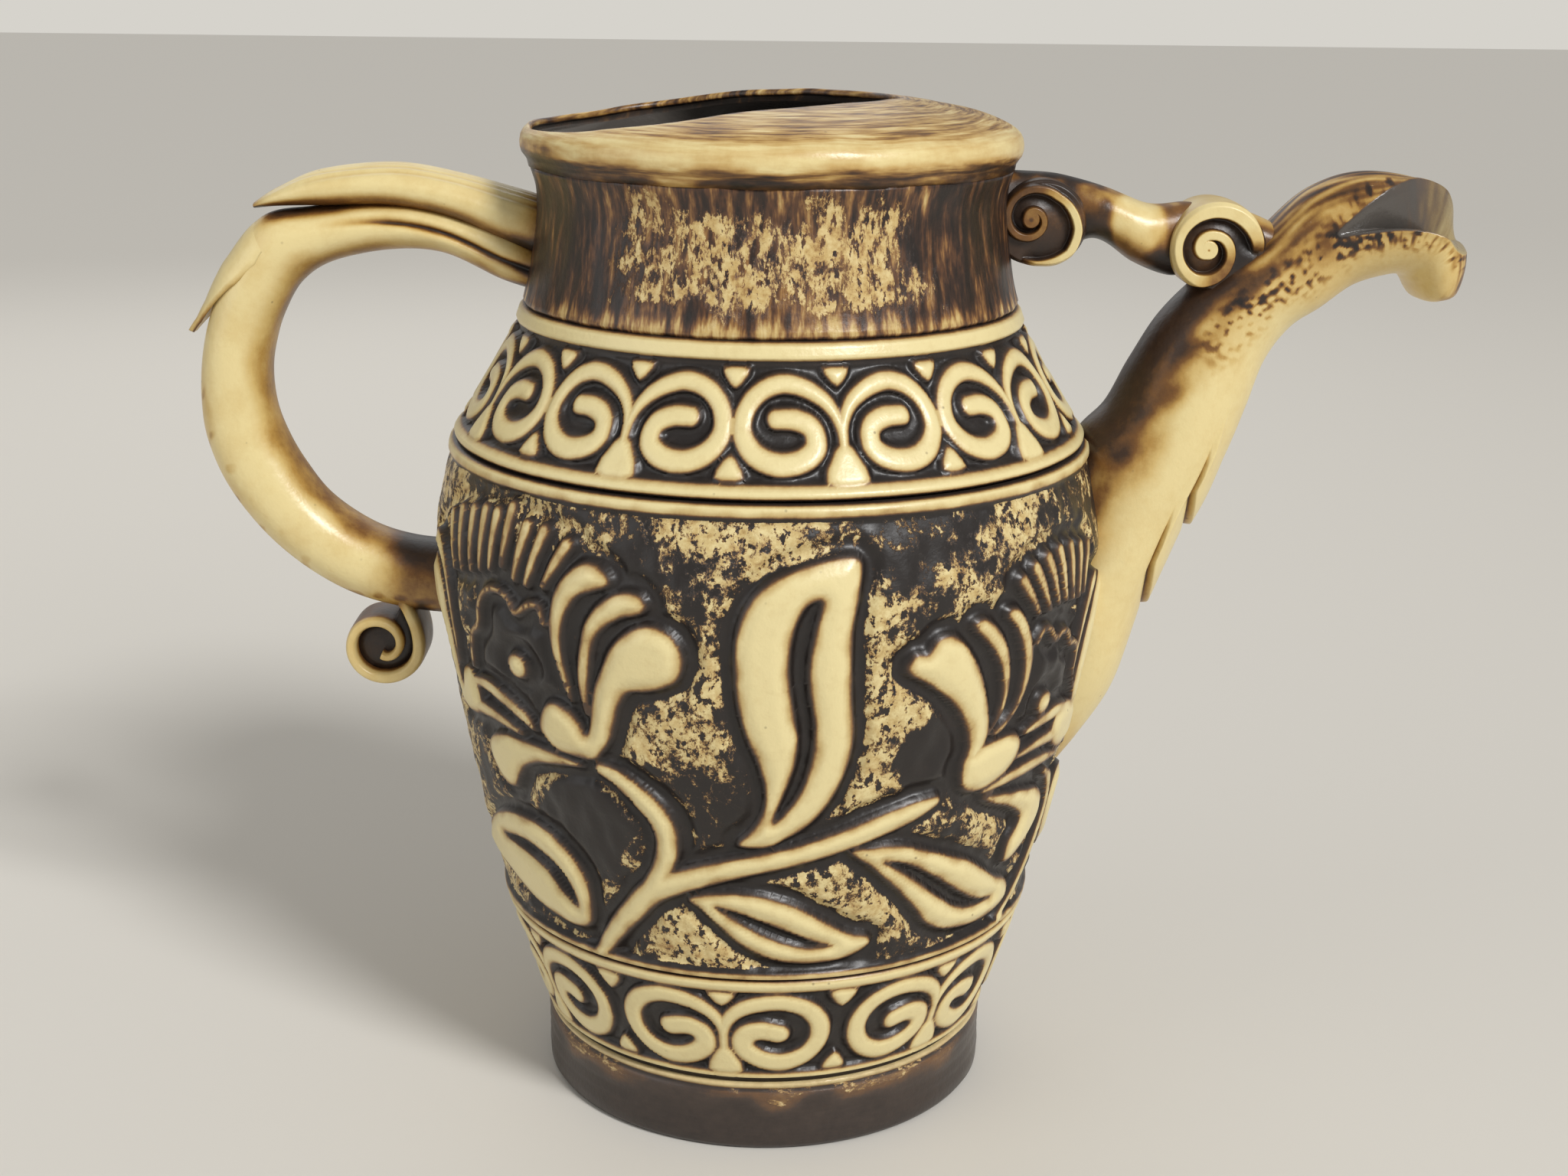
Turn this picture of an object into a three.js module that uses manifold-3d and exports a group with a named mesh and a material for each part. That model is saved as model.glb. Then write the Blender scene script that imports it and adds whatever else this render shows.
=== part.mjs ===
// Spouted pitcher of carved stoneware with a half-covered mouth, a bridge to the spout and a scroll handle.
// Millimetres, +Z up, origin in the middle of the underside of the foot.
// The spout points along +X and the handle along -X; the carved frieze starts from the side that faces -Y.

import * as THREE from 'three';
import { mergeVertices } from 'three/addons/utils/BufferGeometryUtils.js';
import Module from 'manifold-3d';

const wasm = await Module();
wasm.setup();

// Gap at the luted joints, sides of every round form, least distance between two rows of an outline, and
// how far a carved wall's surface may move when its narrowest faces are joined
const slipGap = 0.3;
const roundSteps = 40;
const rowGap = 0.2;
const faceTrim = 0.02;

// Foot
const footRadius = 50.5;
const footHeight = 16;
const footEdge = 1.5;
const floorThickness = 8;

// Belly: how far each point of its outline lies inside the widest radius, and its rise over the point below
const wallThickness = 6.5;
const bellyRadius = 73.8;
const bellyLowInset = 12.1;
const bellyLowRise = 35.5;
const bellyMidInset = 3.4;
const bellyMidRise = 41.5;
const bellyWidestRise = 34;
const shoulderInset = 4.8;
const shoulderRise = 21.4;
const bellyLowRadius = bellyRadius - bellyLowInset;
const bellyMidRadius = bellyRadius - bellyMidInset;
const shoulderRadius = bellyRadius - shoulderInset;
const bellyLowHeight = footHeight + bellyLowRise;
const bellyMidHeight = bellyLowHeight + bellyMidRise;
const bellyWidestHeight = bellyMidHeight + bellyWidestRise;
const shoulderHeight = bellyWidestHeight + shoulderRise;

// Neck and rim, as radii and the rise over the point below
const neckFootRadius = 54.7;
const neckFootRise = 24.6;
const neckRadius = 50;
const neckWaistRise = 23;
const neckFlare = 1.3;
const neckTopRise = 9;
const neckWall = 5;
const rimOverhang = 1.7;
const rimRise = 6;
const neckFootHeight = shoulderHeight + neckFootRise;
const neckWaistHeight = neckFootHeight + neckWaistRise;
const neckTopHeight = neckWaistHeight + neckTopRise;
const neckTopRadius = neckRadius + neckFlare;
const rimHeight = neckTopHeight + rimRise;
const rimRadius = neckTopRadius + rimOverhang;
const hoodRise = 10.8;
const hoodWall = 3.5;
const rimRoll = 3;
const rimSwell = 0.4;
const rimLand = 2.6;
const spoutSideCover = 22;
const mouthSideCover = 17;

// Carving on the wall: what is raised is rooted a little way into the carved ground
const carvingDepth = 2.4;
const carvingRoot = 0.5;
const friezeBottom = bellyLowHeight - 4.5;
const friezeTop = shoulderHeight - 2.8;
const lineDepth = 1;
const lineWidth = 1.8;
const lowerLineHeight = friezeBottom - 2.4;
const neckLineHeight = neckFootHeight + 4;
const bandDepth = 1.5;
const bandRoot = 0.5;
const scrollHalfWidth = 1.6;

// Scroll bands: a scroll runs from its eye to the link that it shares with its mirror image, drawn in degrees
// from that link and millimetres over the band's lower edge, and is stretched with the band
const shoulderBand = {
  pairs: 9,
  link: 13.3,
  bottom: shoulderHeight + 3,
  top: neckFootHeight - 0.6,
  drawnHeight: 21,
  scroll: [
    [-12.1, 11.3], [-7.5, 10.6], [-5.8, 6.9], [-9.5, 4], [-15.7, 5.1], [-18.2, 10.6], [-15.3, 15.9],
    [-9.3, 17.5], [-3.7, 14.5], [-1, 9.6], [-0.6, 1],
  ],
};
const lowerBand = {
  pairs: 7,
  link: -9,
  bottom: footHeight + 3,
  top: friezeBottom - 5.6,
  drawnHeight: 22.4,
  scroll: [
    [-12.4, 11.4], [-7, 11.5], [-4.9, 7.6], [-9.5, 4.1], [-17.8, 4.6], [-21.5, 10.5], [-19, 16.8],
    [-11.6, 19.7], [-4.5, 17.9], [-1, 12.6], [-0.7, 1],
  ],
};

// Spout, bridge and handle: a point is [how far out from the widest radius, how far up from the shoulder].
// Each station gives the point under the form, the point over it and half its width
const boreRadius = 7;
const sheathLip = 0.7;
const spoutStations = [
  { under: [-6.8, -76.4], over: [-25.8, -52.4], halfWidth: 13 },
  { under: [4.2, -57.4], over: [-17.8, -32.4], halfWidth: 15.5 },
  { under: [11, -37.4], over: [-12.8, -14.4], halfWidth: 15.5 },
  { under: [18.6, -20.9], over: [-6.8, -0.4], halfWidth: 14.5 },
  { under: [25.2, -6.9], over: [-0.5, 6.6], halfWidth: 13.6 },
  { under: [30, 6.1], over: [4.2, 16.1], halfWidth: 12.8 },
  { under: [33.4, 16.6], over: [10.2, 26.1], halfWidth: 12 },
  { under: [38.2, 23.4], over: [18.2, 34.6], halfWidth: 11.4 },
];
const beakStations = [
  { under: [38.5, 23.7], over: [18.6, 35], halfWidth: 11.4 },
  { under: [44.2, 27.6], over: [29.7, 43.4], halfWidth: 11 },
  { under: [50.7, 32.6], over: [40.2, 53.4], halfWidth: 11.6 },
  { under: [58.2, 34.8], over: [54.2, 57], halfWidth: 12.6 },
  { under: [61.7, 35.6], over: [71.2, 52.4], halfWidth: 13 },
  { under: [63.5, 35.2], over: [74.6, 40.6], halfWidth: 12.6 },
  { under: [64.6, 33.2], over: [73.6, 31.6], halfWidth: 11 },
  { under: [64.4, 31.2], over: [67.8, 28.5], halfWidth: 8 },
];
const sheathCuts = [
  { under: [8.4, -41], over: [-3.8, -7.4] },
  { under: [17.6, -22.4], over: [1.7, 13.6] },
];
const beakMouth = {
  centre: [61.2, -3.5, 52.1],
  halfLength: 13.5,
  halfWidth: 11,
  halfDepth: 8.5,
  lean: 28,
  dip: 12,
};

const bridgeStations = [
  { under: [-36.8, 37], over: [-36.8, 56.6], halfWidth: 9.2 },
  { under: [-24.8, 37.8], over: [-24.8, 56.1], halfWidth: 8.9 },
  { under: [-13.8, 38.6], over: [-13.8, 55.8], halfWidth: 8.6 },
  { under: [-5.3, 42.1], over: [-2.8, 53], halfWidth: 8.2 },
  { under: [3.2, 37.2], over: [6.2, 49.6], halfWidth: 8 },
  { under: [11.7, 34.2], over: [13.7, 50.2], halfWidth: 8 },
];
const voluteHalfWidth = 9;
const voluteGroove = 1.6;
const voluteEye = 2;
const voluteRim = 4.6;
const voluteTurns = 1.6;
const neckVolute = { centre: [-16.3, 45.2], startRadius: 8.2, endRadius: 10.6, from: -90, turn: 1 };
const spoutVolute = { centre: [20.8, 40], startRadius: 8.2, endRadius: 12, from: -100, turn: -1 };

// Handle: "under" is on the side of the fingers and "over" on the outside
const handleLeafStations = [
  { under: [-37.8, 31], over: [-37.8, 45.4], halfWidth: 10 },
  { under: [-17.8, 39.6], over: [-20.8, 51], halfWidth: 10 },
  { under: [-4.8, 45], over: [-7.8, 54.4], halfWidth: 9.8 },
  { under: [7.2, 47.2], over: [6.2, 56.5], halfWidth: 9.4 },
  { under: [20.2, 47.2], over: [21.2, 55], halfWidth: 8.4 },
  { under: [30.2, 47], over: [30.8, 51.2], halfWidth: 6.4 },
  { under: [35.8, 46.4], over: [36, 47.8], halfWidth: 3.4 },
];
const handleArmStations = [
  { under: [-37.8, 26.4], over: [-37.8, 35.2], halfWidth: 9.6 },
  { under: [-16.8, 32], over: [-18.8, 43.2], halfWidth: 9.2 },
  { under: [-3.8, 37.8], over: [-5.8, 48.6], halfWidth: 9 },
  { under: [8.2, 38], over: [7.2, 50.6], halfWidth: 9 },
  { under: [19.7, 35.5], over: [23.2, 49.2], halfWidth: 9.2 },
  { under: [26.4, 31.2], over: [35.4, 46], halfWidth: 9.4 },
  { under: [30.6, 24.4], over: [43.2, 36], halfWidth: 9.2 },
  { under: [33.8, 17.6], over: [48.6, 25], halfWidth: 8 },
];
const handleTipStations = [
  { under: [34, 17.2], over: [48.8, 24.6], halfWidth: 8 },
  { under: [39.2, 14.1], over: [51.6, 20.2], halfWidth: 5 },
  { under: [47.8, 13.4], over: [51, 15], halfWidth: 2 },
];
const handleBarStations = [
  { under: [33.8, 16.8], over: [47.8, 18], halfWidth: 8.2 },
  { under: [34, 8.8], over: [49.6, 6.6], halfWidth: 8.8 },
  { under: [32.6, 0], over: [48.6, -4.4], halfWidth: 9 },
  { under: [28.8, -7.8], over: [43.8, -15.4], halfWidth: 9.2 },
  { under: [22.6, -16.2], over: [34.6, -27], halfWidth: 9.4 },
  { under: [13.8, -22.4], over: [22.6, -36], halfWidth: 9.6 },
  { under: [4.6, -25.4], over: [8.2, -40.8], halfWidth: 10 },
  { under: [-7.8, -26.8], over: [-7.8, -42.8], halfWidth: 10.4 },
];
const tailScroll = { centre: [11.8, -49.8], startRadius: 8.6, endRadius: 1.8, from: 84, turns: 1.55 };
const tailThickness = 3;
const tailThinning = 0.35;
const tailHalfWidth = 7.5;

// Carved motifs: each outline is in degrees round the jug and millimetres over the frieze's lower edge,
// on a frieze of the height below, and is stretched with the frieze
const drawnFriezeHeight = 98.6;
const tallLeaf = [
  [14, 91], [8, 90.5], [3, 88.5], [-1, 85.5], [-3.6, 81], [-4.9, 73], [-4.2, 60], [-2.6, 53],
  [-0.6, 45], [-0.8, 38], [-4.7, 30.8], [1, 31], [6, 34.5], [10.5, 40.5], [13.4, 49.5], [13.6, 58],
  [12.9, 70], [13.2, 80],
];
const tallLeafSlit = [
  [8.3, 83], [5.4, 81.5], [3.4, 73], [3.6, 64], [4.8, 54], [4, 47], [1.2, 36.5], [5, 42], [7.5, 51],
  [7.2, 61], [6.5, 70],
];
const stemFork = [
  [-38, -1], [-33, 8], [-29, 13.5], [-24, 19.5], [-20.6, 25.5], [-19.5, 31], [-20.6, 35.5],
  [-24.5, 40.5], [-29.3, 43.8], [-28.6, 45.8], [-24, 44], [-19, 38.5], [-15.6, 31.5], [-15.8, 25.5],
  [-17.6, 22.4], [-13, 25.2], [-7, 28], [1, 29.3], [11, 33.4], [20, 36.5], [29, 39], [31, 37],
  [25, 32.6], [13, 28.2], [1, 24.8], [-9, 20.5], [-18, 15.5], [-26, 8.5], [-34.5, -1],
];
const lowLeaf = [
  [-14, 17.2], [-8, 19.1], [1, 18.3], [9, 13.8], [15, 9.6], [20.5, 6.2], [19.8, 3.8], [11, 1.9],
  [1, 3.4], [-6, 8.2], [-11, 14],
];
const lowLeafSlit = [
  [-9, 15.6], [-2, 13.4], [6, 9], [12.8, 6], [6, 6.4], [-1, 9.6],
];
const highLeaf = [
  [15, 28.5], [23, 29], [31, 25.8], [41, 20.4], [50, 13.4], [58, 9], [57, 4.6], [46, 2.9], [36, 5],
  [30, 11.4], [23, 20],
];
const highLeafSlit = [
  [21.5, 25.2], [30, 21.4], [38, 14.8], [45, 9.8], [51, 7.8], [42, 8.6], [33, 15.2],
];
const leftPetal = [
  [-30.8, 51.8], [-29, 58], [-27, 66], [-23.4, 73.6], [-19, 76.9], [-15, 75.6], [-13, 70.4],
  [-14.2, 66.2], [-18, 63.7], [-22.2, 62.6], [-24.6, 57.4], [-26.6, 50.4], [-30, 46.6], [-35, 46.2],
  [-39.4, 48.4], [-40.8, 53], [-38, 56.8], [-34.6, 56.8],
];
const leftMiddlePetal = [
  [-30, 57], [-31.2, 64], [-30, 74], [-26.6, 81.2], [-22, 83.4], [-18.9, 81.2], [-22.6, 78],
  [-27.2, 74], [-28.8, 66.5],
];
const leftOuterPetal = [
  [-33, 59], [-36, 69], [-35.6, 79.6], [-32.4, 86.2], [-28, 88], [-25, 84.8], [-30, 81.6],
  [-33.4, 75], [-33.8, 68],
];
const rightPetal = [
  [23, 69.5], [26, 71.4], [28.6, 74.2], [32.4, 72.8], [35.6, 67.8], [37.2, 60], [38.2, 52],
  [35.6, 46.8], [34.3, 52.5], [31.5, 58.4], [26, 63.4],
];
const rightCup = [
  [35, 46.4], [40.5, 48.4], [46.5, 48.2], [49.2, 44.8], [46.8, 39.6], [41, 37], [35.8, 39.4],
];
const rightMiddlePetal = [
  [37.8, 48.6], [41.4, 55], [41.2, 63], [37.6, 71], [34.2, 75], [37.4, 75.4], [41.4, 69.6],
  [43.2, 60], [41.8, 53],
];
const rightOuterPetal = [
  [40.2, 49.2], [45.2, 55.4], [46.4, 63], [44, 71.4], [41.2, 76.4], [44.4, 75.4], [47.6, 67.4],
  [48, 59], [45, 52.4],
];
const farLowLeaf = [
  [-36.5, 5.8], [-35.3, 12], [-38.5, 22], [-50, 26.8], [-62, 23.4], [-75, 13], [-62, 8], [-46, 4],
];
const farLowLeafSlit = [
  [-39.4, 9.4], [-41.2, 16], [-51, 20.6], [-61, 18.5], [-50, 17], [-43, 12],
];
const farHighLeaf = [
  [62, 27], [69, 29], [76, 24], [83, 9], [76, 7], [69, 13],
];
// Each flower is drawn as one half, and its other half is mirrored about the axis and drawn closer
const leftFlower = { axis: -50, squeeze: 0.84, petals: [leftPetal, leftMiddlePetal, leftOuterPetal] };
const rightFlower = {
  axis: 55, squeeze: 0.9, petals: [rightPetal, rightCup, rightMiddlePetal, rightOuterPetal],
};
// Petals of the fan over each flower, as [foot], [top]
const fanHalfWidth = 1.3;
const fanPetals = [
  [[-37.5, 81.5], [-33.4, 90.4]], [[-41.2, 81], [-38.3, 92.2]], [[-44, 81.5], [-42.3, 92.4]],
  [[-47.3, 83.5], [-46.5, 95]], [[-50.5, 82], [-50.3, 93]], [[-53.5, 81], [-53.9, 93]],
  [[-56.5, 80], [-57.7, 92]], [[-60, 79], [-61.9, 91]], [[-63.6, 78], [-66.2, 89]],
  [[49, 74], [44.4, 82]], [[52.2, 74], [47.7, 83.8]], [[55, 74.5], [51.3, 85]], [[57.8, 74.5], [55, 85.6]],
  [[60.4, 74], [59, 85.4]], [[63, 73], [63, 84.4]], [[65.6, 71.5], [67, 82.6]],
];
// Plain wall left for the spout and the handle, with heights counted from the shoulder
const spoutPad = { azimuth: 90, low: -77.4, high: 4.6, halfWidth: 21 };
const handlePad = { azimuth: -90, low: -47.4, high: -23.4, halfWidth: 14 };

// Clay colours and finish
const clay = { color: 0xd8c096, roughness: 0.42 };
const darkClay = { color: 0x3d2f26, roughness: 0.38 };
const warmClay = { color: 0xc2a06e, roughness: 0.45 };

function toSolid(geometry) {
  const bare = geometry.index ? geometry.toNonIndexed() : geometry.clone();
  bare.deleteAttribute('normal');
  bare.deleteAttribute('uv');
  const merged = mergeVertices(bare, 1e-5);
  const solid = new wasm.Manifold(new wasm.Mesh({
    numProp: 3,
    vertProperties: new Float32Array(merged.attributes.position.array),
    triVerts: new Uint32Array(merged.index.array),
  }));
  return solid;
}

function toGeometry(solid) {
  const mesh = solid.getMesh();
  const geometry = new THREE.BufferGeometry();
  geometry.setAttribute('position', new THREE.BufferAttribute(new Float32Array(mesh.vertProperties), 3));
  geometry.setIndex(new THREE.BufferAttribute(new Uint32Array(mesh.triVerts), 1));
  geometry.computeVertexNormals();
  return geometry;
}

function subtractAll(solid, cutters) {
  return cutters.reduce((rest, cutter) => rest.subtract(cutter), solid);
}

// A closed outline of [radius, height] pairs, anticlockwise in that plane, turned round the Z axis
function turned(outline) {
  const points = outline.map(([radius, height]) => new THREE.Vector2(radius, height));
  points.push(points[0].clone());
  const geometry = new THREE.LatheGeometry(points, roundSteps);
  geometry.rotateX(Math.PI / 2);
  return toSolid(geometry);
}

// Heights and radii of a smooth outline through a few given points
function smoothOutline(points, steps) {
  const curve = new THREE.SplineCurve(points.map(([radius, height]) => new THREE.Vector2(radius, height)));
  return curve.getPoints(steps).map((point) => [point.x, point.y]);
}

function radiusAt(outline, height) {
  for (let i = 1; i < outline.length; i += 1) {
    const [lowRadius, lowHeight] = outline[i - 1];
    const [highRadius, highHeight] = outline[i];
    if (height <= highHeight) {
      const share = (height - lowHeight) / (highHeight - lowHeight);
      return lowRadius + (highRadius - lowRadius) * Math.max(0, share);
    }
  }
  return outline[outline.length - 1][0];
}

function withRows(outline, heights) {
  const rows = outline.concat(heights.map((height) => [radiusAt(outline, height), height]));
  rows.sort((a, b) => a[1] - b[1]);
  return rows.filter((row, i) => i === 0 || row[1] - rows[i - 1][1] > rowGap);
}

// A cut line round the wall: the rows of the outline with a small V let in at each height
function withLines(outline, heights) {
  const edges = heights.flatMap((height) => [height - lineWidth / 2, height, height + lineWidth / 2]);
  const reach = lineWidth / 2 + rowGap;
  const clear = outline.filter(([, row]) => heights.every((height) => Math.abs(row - height) > reach));
  const rows = clear.concat(edges.map((height) => [radiusAt(outline, height), height]));
  rows.sort((a, b) => a[1] - b[1]);
  return rows.map(([radius, row]) => [heights.includes(row) ? radius - lineDepth : radius, row]);
}

const bellyOutline = smoothOutline([
  [footRadius, footHeight],
  [bellyLowRadius, bellyLowHeight],
  [bellyMidRadius, bellyMidHeight],
  [bellyRadius, bellyWidestHeight],
  [shoulderRadius, shoulderHeight],
], 10);

const neckOutline = smoothOutline([
  [shoulderRadius, shoulderHeight],
  [neckFootRadius, neckFootHeight],
  [neckRadius, neckWaistHeight],
  [neckTopRadius, neckTopHeight],
], 8);

// The whole outside of the jug grown by the slip gap, which seats whatever is luted to it
function seatCutter() {
  const rim = [[rimRadius, rimHeight - rimRoll], [rimRadius, rimHeight]];
  const outside = bellyOutline.concat(neckOutline.slice(1), rim);
  const grown = outside.map(([radius, height]) => [radius + slipGap, height]);
  return turned([[0, footHeight], ...grown, [0, rimHeight]]);
}

// A tapering form through stations: every ring is an ellipse across the line from "under" to "over"
function loft(stations, { sides = 14, fine = 2, grow = 0, facing = 1 } = {}) {
  const centres = [];
  const reaches = [];
  stations.forEach(({ under, over, halfWidth }) => {
    const height = shoulderHeight + (under[1] + over[1]) / 2;
    const out = facing * (bellyRadius + (under[0] + over[0]) / 2);
    centres.push(new THREE.Vector3(out, halfWidth, height));
    reaches.push(new THREE.Vector3((facing * (over[0] - under[0])) / 2, 0, (over[1] - under[1]) / 2));
  });
  const rings = (stations.length - 1) * fine;
  const centreLine = new THREE.CatmullRomCurve3(centres, false, 'centripetal');
  const reachLine = new THREE.CatmullRomCurve3(reaches, false, 'catmullrom', 0.5);
  const positions = [];
  for (let i = 0; i <= rings; i += 1) {
    const middle = centreLine.getPoint(i / rings);
    const reach = reachLine.getPoint(i / rings);
    const halfHeight = reach.length() + grow;
    const halfWidth = middle.y + grow;
    reach.normalize();
    for (let j = 0; j < sides; j += 1) {
      const angle = (j / sides) * 2 * Math.PI;
      const up = halfHeight * Math.cos(angle);
      positions.push(middle.x + reach.x * up, halfWidth * Math.sin(angle), middle.z + reach.z * up);
    }
  }
  const index = [];
  for (let i = 0; i < rings; i += 1) {
    for (let j = 0; j < sides; j += 1) {
      const next = (j + 1) % sides;
      const a = i * sides + j;
      const b = i * sides + next;
      const c = (i + 1) * sides + j;
      const d = (i + 1) * sides + next;
      index.push(a, b, c, b, d, c);
    }
  }
  for (let j = 1; j < sides - 1; j += 1) {
    index.push(0, j + 1, j);
    index.push(rings * sides, rings * sides + j, rings * sides + j + 1);
  }
  const geometry = new THREE.BufferGeometry();
  geometry.setAttribute('position', new THREE.Float32BufferAttribute(positions, 3));
  geometry.setIndex(index);
  return facingOut(geometry);
}

function facingOut(geometry) {
  const solid = toSolid(geometry);
  if (solid.volume() > 0) {
    return solid;
  }
  const flipped = geometry.clone();
  const order = Array.from(flipped.index.array);
  for (let i = 0; i < order.length; i += 3) {
    [order[i], order[i + 1]] = [order[i + 1], order[i]];
  }
  flipped.setIndex(order);
  return toSolid(flipped);
}

// A flat shape on the spout's side, with its thickness from -halfWidth to +halfWidth along Y
function plate(points, halfWidth) {
  const shape = new THREE.Shape(points.map(([x, z]) => new THREE.Vector2(x, z)));
  const geometry = new THREE.ExtrudeGeometry(shape, { depth: 2 * halfWidth, bevelEnabled: false });
  geometry.rotateX(Math.PI / 2);
  geometry.translate(bellyRadius, halfWidth, shoulderHeight);
  return facingOut(indexed(geometry));
}

function indexed(geometry) {
  const bare = geometry.clone();
  bare.deleteAttribute('normal');
  bare.deleteAttribute('uv');
  return mergeVertices(bare, 1e-5);
}

// The half of space on the spout's root side of a slanted cut, as a large box
function below({ under, over }, shift = 0) {
  const size = 200;
  const along = new THREE.Vector2(over[0] - under[0], over[1] - under[1]).normalize();
  const normal = new THREE.Vector2(along.y, -along.x);
  const box = new THREE.BoxGeometry(size, size, size);
  const turn = Math.atan2(along.y, along.x);
  box.rotateY(-turn);
  const reach = size / 2 - shift;
  const out = bellyRadius + under[0] - normal.x * reach;
  box.translate(out, 0, shoulderHeight + under[1] - normal.y * reach);
  return facingOut(indexed(box));
}

function polar(centre, radius, degrees) {
  const angle = THREE.MathUtils.degToRad(degrees);
  return [centre[0] + radius * Math.cos(angle), centre[1] + radius * Math.sin(angle)];
}

// A carved motif: its outline, in degrees and heights, pushed out through the wall
function motifPrism(outline, wall) {
  const degrees = outline.map(([angle]) => angle);
  const middle = (Math.min(...degrees) + Math.max(...degrees)) / 2;
  const points = outline.map(([angle, height]) => {
    const side = radiusAt(wall, height) * Math.sin(THREE.MathUtils.degToRad(angle - middle));
    return new THREE.Vector2(side, height);
  });
  const shape = new THREE.Shape(points);
  const geometry = new THREE.ExtrudeGeometry(shape, { depth: bellyRadius, bevelEnabled: false });
  return standingPrism(geometry, middle);
}

function padPrism({ azimuth, low, high, halfWidth }) {
  const shape = new THREE.Shape();
  const middle = shoulderHeight + (low + high) / 2;
  shape.absellipse(0, middle, halfWidth, (high - low) / 2, 0, 2 * Math.PI);
  const extrusion = { depth: bellyRadius, bevelEnabled: false, curveSegments: 16 };
  return standingPrism(new THREE.ExtrudeGeometry(shape, extrusion), azimuth);
}

function standingPrism(geometry, degrees) {
  const angle = THREE.MathUtils.degToRad(degrees);
  const tangent = new THREE.Vector3(Math.cos(angle), Math.sin(angle), 0);
  const outward = new THREE.Vector3(Math.sin(angle), -Math.cos(angle), 0);
  const upward = new THREE.Vector3(0, 0, 1);
  const basis = new THREE.Matrix4().makeBasis(tangent, upward, outward);
  geometry.translate(0, 0, bellyRadius / 3);
  geometry.applyMatrix4(basis);
  return facingOut(indexed(geometry));
}

function friezeMotif(outline) {
  const stretch = (friezeTop - friezeBottom) / drawnFriezeHeight;
  return motifPrism(outline.map(([angle, rise]) => [angle, friezeBottom + rise * stretch]), bellyOutline);
}

function flowerPetals({ axis, squeeze, petals }) {
  const far = petals.map((petal) => petal.map(([angle, rise]) => [axis - (angle - axis) * squeeze, rise]));
  return petals.concat(far);
}

// A petal of the fan is a narrow wedge with its point at the foot
function fanPetal([foot, top]) {
  const reach = THREE.MathUtils.radToDeg(fanHalfWidth / bellyRadius);
  return [foot, [top[0] + reach, top[1] - fanHalfWidth], top, [top[0] - reach, top[1] - fanHalfWidth]];
}

function carvedMotifs() {
  const leaves = [tallLeaf, stemFork, lowLeaf, highLeaf, farLowLeaf, farHighLeaf];
  const petals = flowerPetals(leftFlower).concat(flowerPetals(rightFlower), fanPetals.map(fanPetal));
  const slits = [tallLeafSlit, lowLeafSlit, highLeafSlit, farLowLeafSlit];
  const raised = wasm.Manifold.union(leaves.concat(petals).map(friezeMotif));
  const front = subtractAll(raised, slits.map(friezeMotif));
  const back = front.rotate([0, 0, 180]);
  return wasm.Manifold.union([front, back, padPrism(spoutPad), padPrism(handlePad)]);
}

function wallRing(depth, rows, bottom, top) {
  const outer = rows.filter(([, height]) => height >= bottom && height <= top);
  const inner = outer.map(([radius, height]) => [radius - depth, height]).reverse();
  return turned(outer.concat(inner));
}

// A stroke along a line of points on the unrolled wall, as a closed outline
function strokeOutline(line, halfWidth) {
  const left = [];
  const right = [];
  line.forEach((point, i) => {
    const before = line[Math.max(i - 1, 0)];
    const after = line[Math.min(i + 1, line.length - 1)];
    const along = new THREE.Vector2().subVectors(after, before).normalize();
    const side = new THREE.Vector2(-along.y, along.x).multiplyScalar(halfWidth);
    left.push(new THREE.Vector2().addVectors(point, side));
    right.push(new THREE.Vector2().subVectors(point, side));
  });
  return left.concat(right.reverse());
}

// All the scrolls of a band, as prisms through the wall
function bandScrolls({ pairs, link, bottom, top, drawnHeight, scroll }, wall) {
  const stretch = (top - bottom) / drawnHeight;
  const perDegree = THREE.MathUtils.degToRad(radiusAt(wall, (bottom + top) / 2));
  const line = scroll.map(([angle, rise]) => new THREE.Vector2(angle * perDegree, rise * stretch));
  const outline = strokeOutline(line, scrollHalfWidth).map(({ x, y }) => [x / perDegree, bottom + y]);
  const half = motifPrism(outline, wall);
  const mirrored = motifPrism(outline.map(([angle, height]) => [-angle, height]), wall);
  const pair = half.add(mirrored);
  const turns = Array.from({ length: pairs }, (_, i) => link + (i * 360) / pairs);
  return wasm.Manifold.union(turns.map((turn) => pair.rotate([0, 0, turn])));
}

// The band's ground is cut into the wall, and the scrolls stand in it up to the wall's outside
function withScrollBand(solid, band, wall, rows) {
  const ground = solid.subtract(wallRing(bandDepth, rows, band.bottom, band.top));
  const scrolls = wallRing(bandDepth + bandRoot, rows, band.bottom, band.top);
  return ground.add(bandScrolls(band, wall).intersect(scrolls));
}

function belly() {
  const bottom = footHeight + slipGap;
  const rows = withRows(bellyOutline, [bottom, lowerBand.bottom, lowerBand.top, friezeBottom, friezeTop]);
  const outer = withLines(rows.filter(([, height]) => height >= bottom), [lowerLineHeight]);
  const everyOther = bellyOutline.filter((row, i) => i % 2 === 0 && row[1] > bottom);
  const inner = [[footRadius, bottom], ...everyOther];
  const innerRows = inner.map(([radius, height]) => [radius - wallThickness, height]);
  const wall = turned(outer.concat(innerRows.reverse()));
  const ground = wall.subtract(wallRing(carvingDepth, rows, friezeBottom, friezeTop));
  const carved = wallRing(carvingDepth + carvingRoot, rows, friezeBottom, friezeTop);
  const raised = carvedMotifs().intersect(carved);
  const banded = withScrollBand(ground.add(raised), lowerBand, bellyOutline, rows);
  return banded.subtract(spoutBore()).asOriginal().simplify(faceTrim);
}

function foot() {
  const inner = footRadius - wallThickness;
  return turned([
    [0, 0], [footRadius - footEdge, 0], [footRadius, footEdge], [footRadius, footHeight],
    [inner, footHeight], [inner, floorThickness + footEdge], [inner - footEdge, floorThickness],
    [0, floorThickness],
  ]);
}

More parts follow.
